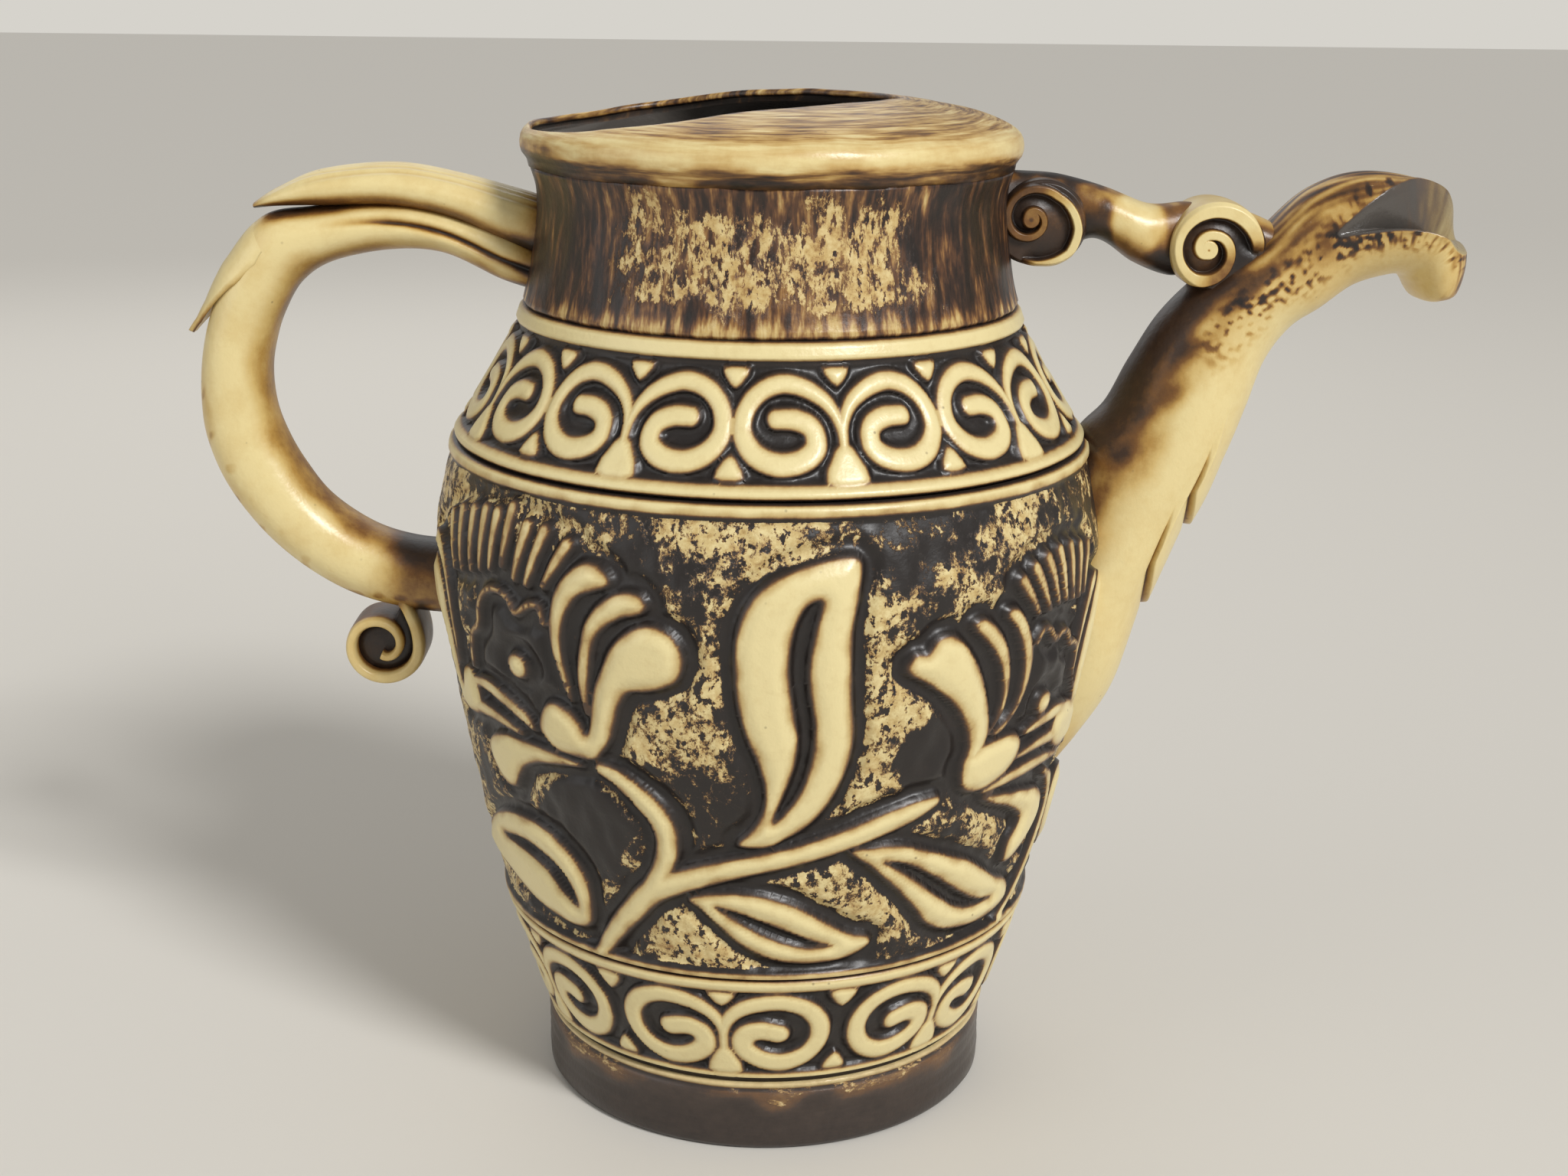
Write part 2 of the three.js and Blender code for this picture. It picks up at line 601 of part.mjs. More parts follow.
function neck() {
  const bottom = shoulderHeight + slipGap;
  const above = neckOutline.filter(([, height]) => height > bottom + rowGap);
  const rows = withRows(neckOutline, [bottom, shoulderBand.bottom, shoulderBand.top]);
  const outer = withLines(rows.filter(([, height]) => height >= bottom), [neckLineHeight]);
  const inner = above.map(([radius, height]) => [radius - neckWall, height]);
  inner.unshift([shoulderRadius - wallThickness, bottom]);
  const wall = turned(outer.concat(inner.reverse()));
  return withScrollBand(wall, shoulderBand, neckOutline, rows).asOriginal().simplify(faceTrim);
}

// Domed hood over the mouth, with a rolled rim and an opening that comes close to the rim over the handle
function hood() {
  const bottom = neckTopHeight + slipGap;
  const domeSteps = 7;
  const outer = [[neckTopRadius, bottom], [rimRadius - rimSwell, rimHeight - rimRoll]];
  const inner = [[neckTopRadius - neckWall, bottom]];
  for (let i = 0; i <= domeSteps; i += 1) {
    const angle = (i / domeSteps) * (Math.PI / 2);
    outer.push([rimRadius * Math.cos(angle), rimHeight + hoodRise * Math.sin(angle)]);
    inner.push([
      (neckTopRadius - neckWall) * Math.cos(angle),
      rimHeight - hoodWall / 2 + (hoodRise - hoodWall / 2) * Math.sin(angle),
    ]);
  }
  outer[outer.length - 1][0] = 0;
  inner[inner.length - 1][0] = 0;
  const dome = turned(outer.concat(inner.reverse()));
  const reach = rimRadius - (spoutSideCover + rimLand) / 2;
  const shape = new THREE.Shape();
  const middle = (rimLand - spoutSideCover) / 2;
  shape.absellipse(middle, 0, reach, rimRadius - mouthSideCover, 0, 2 * Math.PI);
  const depth = 2 * rimHeight;
  const hole = new THREE.ExtrudeGeometry(shape, { depth, bevelEnabled: false, curveSegments: 20 });
  return dome.subtract(facingOut(indexed(hole)));
}

function spoutBore() {
  const bore = spoutStations.concat(beakStations.slice(1, 4)).map(({ under, over }) => {
    const middle = [(under[0] + over[0]) / 2, (under[1] + over[1]) / 2];
    const length = Math.hypot(over[0] - under[0], over[1] - under[1]);
    const share = boreRadius / length;
    const side = [(over[0] - under[0]) * share, (over[1] - under[1]) * share];
    return {
      under: [middle[0] - side[0], middle[1] - side[1]],
      over: [middle[0] + side[0], middle[1] + side[1]],
      halfWidth: boreRadius,
    };
  });
  return loft(bore, { sides: 12, fine: 1 });
}

// One of the three lapped lengths of the spout, each a little fuller than the one that it laps over
function spoutLength(part) {
  const fuller = loft(spoutStations, { grow: part * sheathLip });
  const cuts = [seatCutter(), spoutBore()];
  const tube = subtractAll(fuller, cuts);
  if (part === 0) {
    return tube.intersect(below(sheathCuts[0]));
  }
  if (part === 1) {
    return tube.subtract(below(sheathCuts[0], slipGap)).intersect(below(sheathCuts[1]));
  }
  return tube.subtract(below(sheathCuts[1], slipGap));
}

function spoutBeak() {
  const { centre, halfLength, halfWidth, halfDepth, lean, dip } = beakMouth;
  const scoop = new THREE.SphereGeometry(1, 16, 10);
  scoop.scale(halfLength, halfWidth, halfDepth);
  scoop.rotateY(THREE.MathUtils.degToRad(dip));
  scoop.rotateX(THREE.MathUtils.degToRad(lean));
  scoop.translate(bellyRadius + centre[0], centre[1], shoulderHeight + centre[2]);
  return subtractAll(loft(beakStations), [facingOut(indexed(scoop)), spoutBore()]);
}

// Outline of a volute: a snail whose radius grows over one turn
function snail({ centre, startRadius, endRadius, from, turn }, grow = 0) {
  const steps = 20;
  const almostOneTurn = 340;
  const points = [];
  for (let i = 0; i <= steps; i += 1) {
    const radius = startRadius + (endRadius - startRadius) * (i / steps) + grow;
    points.push(polar(centre, radius, from + turn * almostOneTurn * (i / steps)));
  }
  return points;
}

// A spiral groove on both faces of a volute
function spiralGroove({ centre, startRadius, endRadius, from, turn }) {
  const steps = 26;
  const grooveReach = (startRadius + endRadius) / 2 - voluteRim;
  const outside = [];
  const inside = [];
  for (let i = 0; i <= steps; i += 1) {
    const share = i / steps;
    const radius = voluteEye + grooveReach * share;
    const angle = from + turn * 360 * voluteTurns * share;
    outside.push(polar(centre, radius + voluteGroove / 2, angle));
    inside.push(polar(centre, radius - voluteGroove / 2, angle));
  }
  const band = plate(outside.concat(inside.reverse()), voluteHalfWidth + voluteGroove);
  const whole = snail({ centre, startRadius, endRadius, from, turn }, voluteGroove);
  const core = plate(whole, voluteHalfWidth - voluteGroove);
  return band.subtract(core);
}

function volute(scroll) {
  return plate(snail(scroll), voluteHalfWidth).subtract(spiralGroove(scroll));
}

function bridge() {
  const near = plate(snail(neckVolute, slipGap), voluteHalfWidth + slipGap);
  const far = plate(snail(spoutVolute, slipGap), voluteHalfWidth + slipGap);
  return subtractAll(loft(bridgeStations), [seatCutter(), near, far]);
}

function neckVoluteDisc() {
  return volute(neckVolute).subtract(seatCutter());
}

function spoutVoluteDisc() {
  const spout = loft(spoutStations, { grow: 2 * sheathLip + slipGap });
  const beak = loft(beakStations, { grow: slipGap });
  return subtractAll(volute(spoutVolute), [spout, beak]);
}

function handleForm(stations, grow = 0) {
  return loft(stations, { grow, facing: -1 });
}

function handleLeaf() {
  return handleForm(handleLeafStations).subtract(seatCutter());
}

function handleArm() {
  const cuts = [seatCutter(), handleForm(handleLeafStations, slipGap)];
  return subtractAll(handleForm(handleArmStations), cuts);
}

function handleTip() {
  return handleForm(handleTipStations).subtract(handleForm(handleArmStations, slipGap));
}

function handleBar() {
  const cuts = [
    seatCutter(),
    handleForm(handleArmStations, slipGap),
    handleForm(handleTipStations, slipGap),
  ];
  return subtractAll(handleForm(handleBarStations), cuts);
}

// Flat strip that leaves the bar's lower side and curls into a spiral
function handleTail() {
  const { centre, startRadius, endRadius, from, turns } = tailScroll;
  const steps = 34;
  const outside = [];
  const inside = [];
  for (let i = 0; i <= steps; i += 1) {
    const share = i / steps;
    const radius = startRadius + (endRadius - startRadius) * share;
    const angle = from + 360 * turns * share;
    const half = (tailThickness / 2) * (1 - tailThinning * share);
    outside.push(polar(centre, radius + half, angle));
    inside.push(polar(centre, radius - half, angle));
  }
  const strip = plate(outside.concat(inside.reverse()), tailHalfWidth).mirror([1, 0, 0]);
  return subtractAll(strip, [seatCutter(), handleForm(handleBarStations, slipGap)]);
}

const pitcher = new THREE.Group();

function addPiece(name, solid, finish) {
  const material = new THREE.MeshStandardMaterial({ ...finish, metalness: 0, flatShading: true });
  const mesh = new THREE.Mesh(toGeometry(solid), material);
  mesh.name = name;
  pitcher.add(mesh);
}

addPiece('foot', foot(), darkClay);
addPiece('belly', belly(), clay);
addPiece('neck', neck(), warmClay);
addPiece('mouth_hood', hood(), clay);
addPiece('spout_root', spoutLength(0), clay);
addPiece('spout_middle_sheath', spoutLength(1), clay);
addPiece('spout_top_sheath', spoutLength(2), clay);
addPiece('spout_beak', spoutBeak(), warmClay);
addPiece('bridge_bar', bridge(), clay);
addPiece('bridge_volute_neck', neckVoluteDisc(), warmClay);
addPiece('bridge_volute_spout', spoutVoluteDisc(), warmClay);
addPiece('handle_top_leaf', handleLeaf(), clay);
addPiece('handle_arm', handleArm(), clay);
addPiece('handle_leaf_tip', handleTip(), clay);
addPiece('handle_bar', handleBar(), clay);
addPiece('handle_tail_scroll', handleTail(), warmClay);

export default pitcher;
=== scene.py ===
# Carved stoneware pitcher with a bridged spout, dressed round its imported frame
import math

import bpy
import numpy as np
from mathutils import Matrix, Vector


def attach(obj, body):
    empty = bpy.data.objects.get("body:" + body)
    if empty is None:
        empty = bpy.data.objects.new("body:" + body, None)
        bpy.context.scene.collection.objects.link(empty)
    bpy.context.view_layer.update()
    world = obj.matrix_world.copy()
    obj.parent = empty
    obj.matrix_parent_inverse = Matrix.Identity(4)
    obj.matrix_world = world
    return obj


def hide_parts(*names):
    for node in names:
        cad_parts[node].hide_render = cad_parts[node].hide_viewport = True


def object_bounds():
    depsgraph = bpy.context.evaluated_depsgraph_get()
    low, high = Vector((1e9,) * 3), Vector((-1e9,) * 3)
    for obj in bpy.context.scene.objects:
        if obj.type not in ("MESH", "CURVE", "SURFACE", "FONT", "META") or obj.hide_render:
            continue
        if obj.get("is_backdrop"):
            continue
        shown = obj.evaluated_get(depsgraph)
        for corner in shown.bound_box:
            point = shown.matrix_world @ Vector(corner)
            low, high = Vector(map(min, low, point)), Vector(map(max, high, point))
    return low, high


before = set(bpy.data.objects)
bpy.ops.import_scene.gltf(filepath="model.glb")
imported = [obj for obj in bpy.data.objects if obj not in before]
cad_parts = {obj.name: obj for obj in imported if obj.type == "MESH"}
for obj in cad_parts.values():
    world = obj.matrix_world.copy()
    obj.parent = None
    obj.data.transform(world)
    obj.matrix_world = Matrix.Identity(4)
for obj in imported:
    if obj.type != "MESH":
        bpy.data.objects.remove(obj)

print("frame loaded")
cadLow, cadHigh = (corner.copy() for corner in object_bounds())
mm = 0.001
bodyName = "root"


# small helpers

def linearColour(hexText):
    # sRGB hex to the linear RGBA that the shaders want
    parts = [int(hexText[i:i + 2], 16) / 255 for i in (1, 3, 5)]
    return tuple(p / 12.92 if p <= 0.04045 else ((p + 0.055) / 1.055) ** 2.4 for p in parts) + (1.0,)


def addNode(tree, kind, values=None, **settings):
    node = tree.nodes.new(kind)
    for name, value in settings.items():
        setattr(node, name, value)
    for socket, value in (values or {}).items():
        if isinstance(value, bpy.types.NodeSocket):
            tree.links.new(value, node.inputs[socket])
        else:
            node.inputs[socket].default_value = value
    return node


def rampStops(node, stops):
    ramp = node.color_ramp
    while len(ramp.elements) > 1:
        ramp.elements.remove(ramp.elements[-1])
    ramp.elements[0].position = stops[0][0]
    ramp.elements[0].color = linearColour(stops[0][1])
    for place, colour in stops[1:]:
        ramp.elements.new(place).color = linearColour(colour)


def step(low, high, value):
    # 0 below low, 1 above high and smooth between
    share = np.clip((value - low) / (high - low), 0, 1)
    return share * share * (3 - 2 * share)


def splineThrough(points, shares):
    # a curve through the given points, read at shares from 0 to 1 of any array shape
    points = np.asarray(points, float)
    last = len(points) - 1
    place = np.clip(np.asarray(shares, float), 0, 1) * last
    low = np.minimum(place.astype(int), last - 1)
    t = (place - low)[..., None]
    a = points[np.maximum(low - 1, 0)]
    b = points[low]
    c = points[low + 1]
    d = points[np.minimum(low + 2, last)]
    v0 = (c - a) / 2
    v1 = (d - b) / 2
    return (2 * b - 2 * c + v0 + v1) * t ** 3 + (-3 * b + 3 * c - 2 * v0 - v1) * t ** 2 + v0 * t + b


def softNoise(points, size, seed):
    # smooth lumps of about the given size in mm, from -1 to 1
    rng = np.random.default_rng(seed)
    total = np.zeros(points.shape[:-1])
    for _ in range(14):
        way = rng.normal(size=3)
        way /= np.linalg.norm(way)
        pitch = size * rng.uniform(1.4, 3.2)
        total += np.sin(points @ way * (2 * math.pi / pitch) + rng.uniform(0, 2 * math.pi))
    return total / 5.3


def fullTurn(columns):
    # the angles of one turn, where the last stops short of the first
    return np.radians(np.linspace(0, 360, columns, endpoint=False))


def roundTheAxis(radius, angle, height):
    # points at a turn from the photo's side towards the spout
    return np.stack(np.broadcast_arrays(radius * np.sin(angle), -radius * np.cos(angle), height), -1)


def gridObject(name, grid, marks, closeRows=False, closeColumns=True):
    # a sheet of quads in mm, whose rows close or else end in poles; its points keep three marks from 0 to 1:
    # how far the wash was wiped off, lowered on some pieces by painted shade, how much was scraped bare again, and
    # where the grey liner shows
    rows, columns = grid.shape[:2]
    points = grid.reshape(-1, 3)
    index = np.arange(rows * columns).reshape(rows, columns)
    if closeRows:
        index = np.vstack([index, index[:1]])
    if closeColumns:
        index = np.hstack([index, index[:, :1]])
    faces = np.stack([index[:-1, :-1], index[:-1, 1:], index[1:, 1:], index[1:, :-1]], -1).reshape(-1, 4).tolist()
    sheets = {key: np.broadcast_to(marks.get(key, 0.0), (rows, columns)) for key in ("wipedAndShade", "scraped", "lined")}
    values = {key: sheet.reshape(-1) for key, sheet in sheets.items()}
    for end, row in enumerate(() if closeRows else (0, -1)):
        points = np.vstack([points, grid[row].mean(axis=0)])
        values = {key: np.append(value, sheets[key][row].mean()) for key, value in values.items()}
        pole = len(points) - 1
        for a, b in zip(index[row][:-1].tolist(), index[row][1:].tolist()):
            faces.append([b, a, pole] if end == 0 else [a, b, pole])
    mesh = bpy.data.meshes.new(name)
    mesh.from_pydata((points * mm).tolist(), [], faces)
    for key, value in values.items():
        layer = mesh.attributes.new(key, "FLOAT", "POINT")
        layer.data.foreach_set("value", np.clip(value, 0, 1).astype(np.float32))
    mesh.polygons.foreach_set("use_smooth", [True] * len(mesh.polygons))
    turnOutwards(mesh)
    obj = bpy.data.objects.new(name, mesh)
    bpy.context.scene.collection.objects.link(obj)
    return obj


def turnOutwards(mesh):
    # a closed shell has a positive volume when its faces point outwards
    corners = np.empty(len(mesh.vertices) * 3)
    mesh.vertices.foreach_get("co", corners)
    corners = corners.reshape(-1, 3)
    mesh.calc_loop_triangles()
    tris = np.empty(len(mesh.loop_triangles) * 3, dtype=np.int32)
    mesh.loop_triangles.foreach_get("vertices", tris)
    a, b, c = (corners[tris.reshape(-1, 3)[:, i]] for i in range(3))
    if np.einsum("ij,ij->i", a, np.cross(b, c)).sum() < 0:
        mesh.flip_normals()


def finishPiece(obj, material, slot, *nodes):
    obj.data.materials.clear()
    obj.data.materials.append(material)
    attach(obj, bodyName)
    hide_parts(*nodes)
    print("made", obj.name, len(obj.data.polygons), "faces")


def makePiece(name, grid, marks, glaze, slot, *nodes, closeRows=False):
    finishPiece(gridObject(name, grid, marks, closeRows), glazes[glaze], slot, *nodes)


def keepModifierResult(obj):
    graph = bpy.context.evaluated_depsgraph_get()
    mesh = bpy.data.meshes.new_from_object(obj.evaluated_get(graph), preserve_all_data_layers=True, depsgraph=graph)
    obj.modifiers.clear()
    obj.data = mesh


# the wall: the same outline as the CAD, in mm

wall = {
    "belly": [(50.5, 16), (61.7, 51.5), (70.4, 93), (73.8, 127), (69, 148.4)],
    "neck": [(69, 148.4), (54.7, 173), (50, 196), (51.3, 205)],
    "thickness": 6.5, "neckThickness": 5,
    # the carved wall stays this far inside the CAD's box
    "insideBox": 0.02,
    # how deep a piece that is luted on may reach in, below and above this height
    "luted": (5.0, 3.8), "lutedHeight": 148,
}
bellyCurve = splineThrough(wall["belly"], np.linspace(0, 1, 400))
neckCurve = splineThrough(wall["neck"], np.linspace(0, 1, 400))
wallCurve = np.vstack([bellyCurve, neckCurve[1:]])
widestRadius = min(cadHigh.y, -cadLow.y) / mm - wall["insideBox"]


def wallRadius(height):
    return np.minimum(np.interp(height, wallCurve[:, 1], wallCurve[:, 0]), widestRadius)


# glazes: one recipe, five mixes; sizes are width, depth and height of a mark in mm

glazeMixes = {
    # stoneware under an iron wash that was wiped off the high parts: a silky, slightly uneven glaze, cream
    # where it was wiped, brown at the edges where a film stays and nearly black in the cuts
    "wipedStonewareGlaze": {
        "stops": [
            (0.0, "#1f1916"), (0.2, "#2d231d"), (0.36, "#563c26"), (0.5, "#96703f"), (0.66, "#c7ac72"),
            (1.0, "#e6d6a0"),
        ],
        "mottleMm": (1.7, 1.7, 2.1), "mottleEdge": (0.46, 0.56), "washMm": 9.0, "washing": 0.16, "jitter": 0.30,
        "streakMm": (0.5, 0.5, 2.5), "streaking": 0.06, "speckle": 0.5, "roughness": (0.44, 0.34),
    },
    # the wash brushed up and down and left on: short upright streaks on a brown, softly shining neck
    "streakedNeckGlaze": {
        "stops": [
            (0.0, "#1f1713"), (0.22, "#35241b"), (0.4, "#5f3f28"), (0.55, "#946c3e"), (0.72, "#c6a86c"),
            (1.0, "#dfcb94"),
        ],
        "mottleMm": (1.3, 1.3, 2.9), "mottleEdge": (0.45, 0.57), "washMm": 10.0, "washing": 0.3, "jitter": 0.25,
        "streakMm": (0.95, 3.0, 5.0), "streaking": 1.7, "streakRound": True, "speckle": 0.25,
        "roughness": (0.42, 0.34),
    },
    # cream glaze rubbed almost clean with a rag: pale and silky, and brown where the rag didn't reach; the same brown
    # is also painted shade under and inside the handle, bridge and spout
    "rubbedHandleGlaze": {
        "stops": [
            (0.0, "#221a16"), (0.2, "#3f2b1c"), (0.38, "#7a5226"), (0.55, "#b38c48"), (0.72, "#d3b572"),
            (1.0, "#e7d49a"),
        ],
        "mottleMm": (1.0, 1.0, 1.5), "mottleEdge": (0.47, 0.58), "washMm": 16.0, "washing": 0.24, "jitter": 0.24,
        "streakMm": (0.6, 0.6, 3.0), "streaking": 0.08, "speckle": 0.6, "roughness": (0.40, 0.33),
    },
    # a thin wash brushed along the rim: fine brown streaks round a cream edge, with a soft sheen
    "brushedRimGlaze": {
        "stops": [
            (0.0, "#211813"), (0.22, "#4a301c"), (0.42, "#7f5a2f"), (0.58, "#ab8447"), (0.76, "#cba969"),
            (1.0, "#e6d399"),
        ],
        "mottleMm": (1.0, 1.0, 1.5), "mottleEdge": (0.47, 0.58), "washMm": 12.0, "washing": 0.22, "jitter": 0.2,
        "streakMm": (7.0, 0.5, 2.5), "streaking": 1.9, "streakRound": True, "speckle": 0.4, "roughness": (0.40, 0.33),
    },
    # the wash left thick on the foot and scraped off in places: an even dark sheen with torn pale patches
    "darkFootGlaze": {
        "stops": [(0.0, "#2a2320"), (0.3, "#453932"), (0.5, "#6b4e35"), (0.7, "#a3814f"), (1.0, "#dcc794")],
        "mottleMm": (2.2, 2.2, 0.8), "mottleEdge": (0.48, 0.6), "washMm": 12.0, "washing": 0.2, "jitter": 0.3,
        "streakMm": (2.5, 2.5, 0.4), "streaking": 0.14, "speckle": 0.2, "roughness": (0.36, 0.36),
    },
}
# the glossy glaze of the inside: its own dark grey, made paler to paint in its sheen
liner = {"colour": "#55504b", "roughness": 0.24}
clayGrain = {
    "grainMm": 0.55, "pitMm": 2.2, "reliefMm": 0.10, "bump": 0.5, "filmMm": 2.4, "speckMm": 3.4,
    "speckColour": "#4c331f",
    # brush marks that turn with the jug are measured at this radius
    "wheelMm": 50,
}
glassyCoat = {"IOR": 1.5, "Coat Weight": 0.1, "Coat Roughness": 0.22}


def glazeMaterial(name, mix):
    material = bpy.data.materials.new(name)
    material.use_nodes = True
    tree = material.node_tree
    tree.nodes.clear()
    # everything that a later node reads, by name
    made = {"place": addNode(tree, "ShaderNodeTexCoord").outputs["Object"]}
    for key in ("wipedAndShade", "scraped", "lined"):
        made[key] = addNode(tree, "ShaderNodeAttribute", attribute_name=key).outputs["Fac"]
    brushed = roundTheJug(tree, made["place"]) if mix.get("streakRound") else made["place"]
    for key, place, sizes in (("torn", made["place"], mix["mottleMm"]), ("drawn", brushed, mix["streakMm"])):
        scale = tuple(1 / (size * 2.0 * mm) for size in sizes)
        made[key] = addNode(tree, "ShaderNodeMapping", {"Vector": place, "Scale": scale}).outputs[0]
    # noises: the place they read, then scale, detail, roughness and distortion
    for key, place, scale, detail, roughness, distortion in (
        ("mottle", "torn", 1.0, 8.0, 0.78, 0.25),
        ("pocks", "torn", 1.9, 4.0, 0.65, 0.0),
        ("streaks", "drawn", 1.0, 3.0, 0.6, 0.0),
        ("patches", "place", 1 / (mix["washMm"] * mm), 3.0, 0.55, 0.0),
        ("film", "place", 1 / (clayGrain["filmMm"] * mm), 6.0, 0.68, 0.0),
        ("grain", "place", 1 / (clayGrain["grainMm"] * 2 * mm), 3.0, 0.5, 0.0),
        ("pits", "place", 1 / (clayGrain["pitMm"] * 2 * mm), 4.0, 0.6, 0.0),
    ):
        made[key] = addNode(tree, "ShaderNodeTexNoise", {
            "Vector": made[place], "Scale": scale, "Detail": detail, "Roughness": roughness, "Distortion": distortion,
        }).outputs["Fac"]
    specks = addNode(tree, "ShaderNodeTexVoronoi", {
        "Vector": made["place"], "Scale": 1 / (clayGrain["speckMm"] * mm), "Randomness": 1.0,
    })
    made["speckReach"] = specks.outputs["Distance"]
    made["speckNumber"] = addNode(tree, "ShaderNodeSeparateColor", {"Color": specks.outputs["Color"]}).outputs[0]

    # sums: a RANGE takes what lies between two limits to between two others
    for key, action, *given in (
        # torn patches where the wash was scraped off again; more of them where the ground was scraped more
        ("patchPull", "MULTIPLY_ADD", "patches", 0.5, -0.85),
        ("mottled", "ADD", "mottle", "patchPull"),
        ("reached", "MULTIPLY_ADD", "scraped", 0.68, "mottled"),
        ("scrapings", "RANGE", "reached", *mix["mottleEdge"], 0.0, 1.0),
        ("pocked", "RANGE", "pocks", 0.4, 0.47, 0.12, 1.0),
        ("bared", "MULTIPLY", "scrapings", "pocked"),
        ("baredFilm", "RANGE", "film", 0.3, 0.62, 0.5, 0.94),
        ("baredTone", "MULTIPLY", "bared", "baredFilm"),
        # the wiped film is uneven, most at its edges, and runs in streaks
        ("unevenFilm", "SUBTRACT", "film", 0.5),
        ("filmPull", "MULTIPLY_ADD", "unevenFilm", mix["jitter"], "wipedAndShade"),
        ("wash", "SUBTRACT", "patches", 0.5),
        ("washed", "MULTIPLY_ADD", "wash", mix["washing"], "filmPull"),
        ("evenStreaks", "SUBTRACT", "streaks", 0.5),
        ("streakRoom", "RANGE", "wipedAndShade", 0.6, 1.0, 1.0, 0.12),
        ("streakPull", "MULTIPLY", "evenStreaks", "streakRoom"),
        ("streaked", "MULTIPLY_ADD", "streakPull", mix["streaking"], "washed"),
        ("tone", "MAXIMUM", "streaked", "baredTone"),
        # iron specks burn through here and there
        ("chosen", "RANGE", "speckNumber", 0.86, 0.94, 0.0, mix["speckle"]),
        ("speckSize", "RANGE", "speckReach", 0.04, 0.12, "chosen", 0.0),
        ("evenRoughness", "RANGE", "tone", 0.0, 1.0, *mix["roughness"]),
        ("filmRoughness", "MULTIPLY_ADD", "unevenFilm", 0.25, "evenRoughness"),
        ("roughness", "RANGE", "lined", 0.0, 1.0, "filmRoughness", liner["roughness"]),
        # what the bump reads: pits, grain and the edges of the scraped patches
        ("pitted", "MULTIPLY_ADD", "pits", 1.8, "grain"),
        ("surface", "MULTIPLY_ADD", "bared", 1.6, "pitted"),
    ):
        given = [made.get(value, value) for value in given]
        if action == "RANGE":
            values = dict(zip(("Value", "From Min", "From Max", "To Min", "To Max"), given))
            node = addNode(tree, "ShaderNodeMapRange", values)
        else:
            node = addNode(tree, "ShaderNodeMath", dict(enumerate(given)), operation=action, use_clamp=key == "tone")
        made[key] = node.outputs[0]

    colour = addNode(tree, "ShaderNodeValToRGB", {"Fac": made["tone"]})
    rampStops(colour, mix["stops"])
    blend = colour.outputs["Color"]
    for factor, over in (("speckSize", clayGrain["speckColour"]), ("lined", liner["colour"])):
        # a colour mix has its factor at socket 0 and its colours at 6 and 7
        values = {0: made[factor], 6: blend, 7: linearColour(over)}
        blend = addNode(tree, "ShaderNodeMix", values, data_type="RGBA").outputs[2]
    bump = addNode(tree, "ShaderNodeBump", {
        "Strength": clayGrain["bump"], "Distance": clayGrain["reliefMm"] * mm, "Height": made["surface"],
    })
    shader = addNode(tree, "ShaderNodeBsdfPrincipled", {
        "Base Color": blend, "Roughness": made["roughness"], "Normal": bump.outputs[0], **glassyCoat,
    })
    addNode(tree, "ShaderNodeOutputMaterial", {"Surface": shader.outputs[0]})
    return material


def roundTheJug(tree, place):
    # how far round the jug, how far out and how high, for brush marks that turn with it
    axes = addNode(tree, "ShaderNodeSeparateXYZ", {"Vector": place})
    turned = addNode(tree, "ShaderNodeMath", {0: axes.outputs["Y"], 1: axes.outputs["X"]}, operation="ARCTAN2")
    wheel = clayGrain["wheelMm"] * mm
    around = addNode(tree, "ShaderNodeMath", {0: turned.outputs[0], 1: wheel}, operation="MULTIPLY")
    level = addNode(tree, "ShaderNodeCombineXYZ", {"X": axes.outputs["X"], "Y": axes.outputs["Y"]})
    outward = addNode(tree, "ShaderNodeVectorMath", {0: level.outputs[0]}, operation="LENGTH")
    return addNode(tree, "ShaderNodeCombineXYZ", {
        "X": around.outputs[0], "Y": outward.outputs["Value"], "Z": axes.outputs["Z"],
    }).outputs[0]


glazes = {name: glazeMaterial(name, mix) for name, mix in glazeMixes.items()}
print("glazes mixed")


# carving: distances to outlines and to strokes, in mm on the unrolled wall

def smoothLoop(points, fine=4):
    points = np.asarray(points, float)
    closed = np.vstack([points[-1:], points, points[:2]])
    shares = np.linspace(1, len(points) + 1, len(points) * fine, endpoint=False) / (len(closed) - 1)
    return splineThrough(closed, shares)


def nearestOnSegments(points, starts, ends):
    edge = ends - starts
    offset = points[:, None] - starts[None]
    length = np.maximum((edge ** 2).sum(-1), 1e-9)
    share = np.clip((offset * edge[None]).sum(-1) / length, 0, 1)
    gap = offset - edge[None] * share[..., None]
    return gap, share


def outlineDistance(points, loop):
    # positive inside; the second result leads from the point to the outline
    ends = np.roll(loop, -1, axis=0)
    gap, _ = nearestOnSegments(points, loop, ends)
    square = (gap ** 2).sum(-1)
    best = square.argmin(1)
    rows = np.arange(len(points))
    x, y = points[:, None, 0], points[:, None, 1]
    crosses = (loop[None, :, 1] > y) != (ends[None, :, 1] > y)
    rise = np.where(ends[:, 1] == loop[:, 1], 1e-9, ends[:, 1] - loop[:, 1])
    where = (ends[:, 0] - loop[:, 0]) * (y - loop[None, :, 1]) / rise + loop[:, 0]
    inside = ((crosses & (x < where)).sum(1) % 2) == 1
    distance = np.sqrt(square[rows, best])
    return np.where(inside, distance, -distance), -gap[rows, best]


def strokeDistance(points, line, halfWidths):
    gap, share = nearestOnSegments(points, line[:-1], line[1:])
    width = halfWidths[None, :-1] * (1 - share) + halfWidths[None, 1:] * share
    reach = np.sqrt((gap ** 2).sum(-1))
    depth = width - reach
    best = depth.argmax(1)
    rows = np.arange(len(points))
    way = gap[rows, best] / np.maximum(reach[rows, best], 1e-6)[:, None]
    return depth[rows, best], way * depth[rows, best][:, None]


def unrolled(ring):
    # a degree round the jug and a mm of height, in mm on the unrolled wall
    return math.radians(1) * ring["unrollRadius"], 1


def strokeAlong(stroke, count):
    # a line through the stroke's points, with a half width that runs smoothly along it
    share = np.linspace(0, 1, count)
    return splineThrough(stroke["line"], share), splineThrough(np.array(stroke["halfWidths"])[:, None], share)[:, 0]


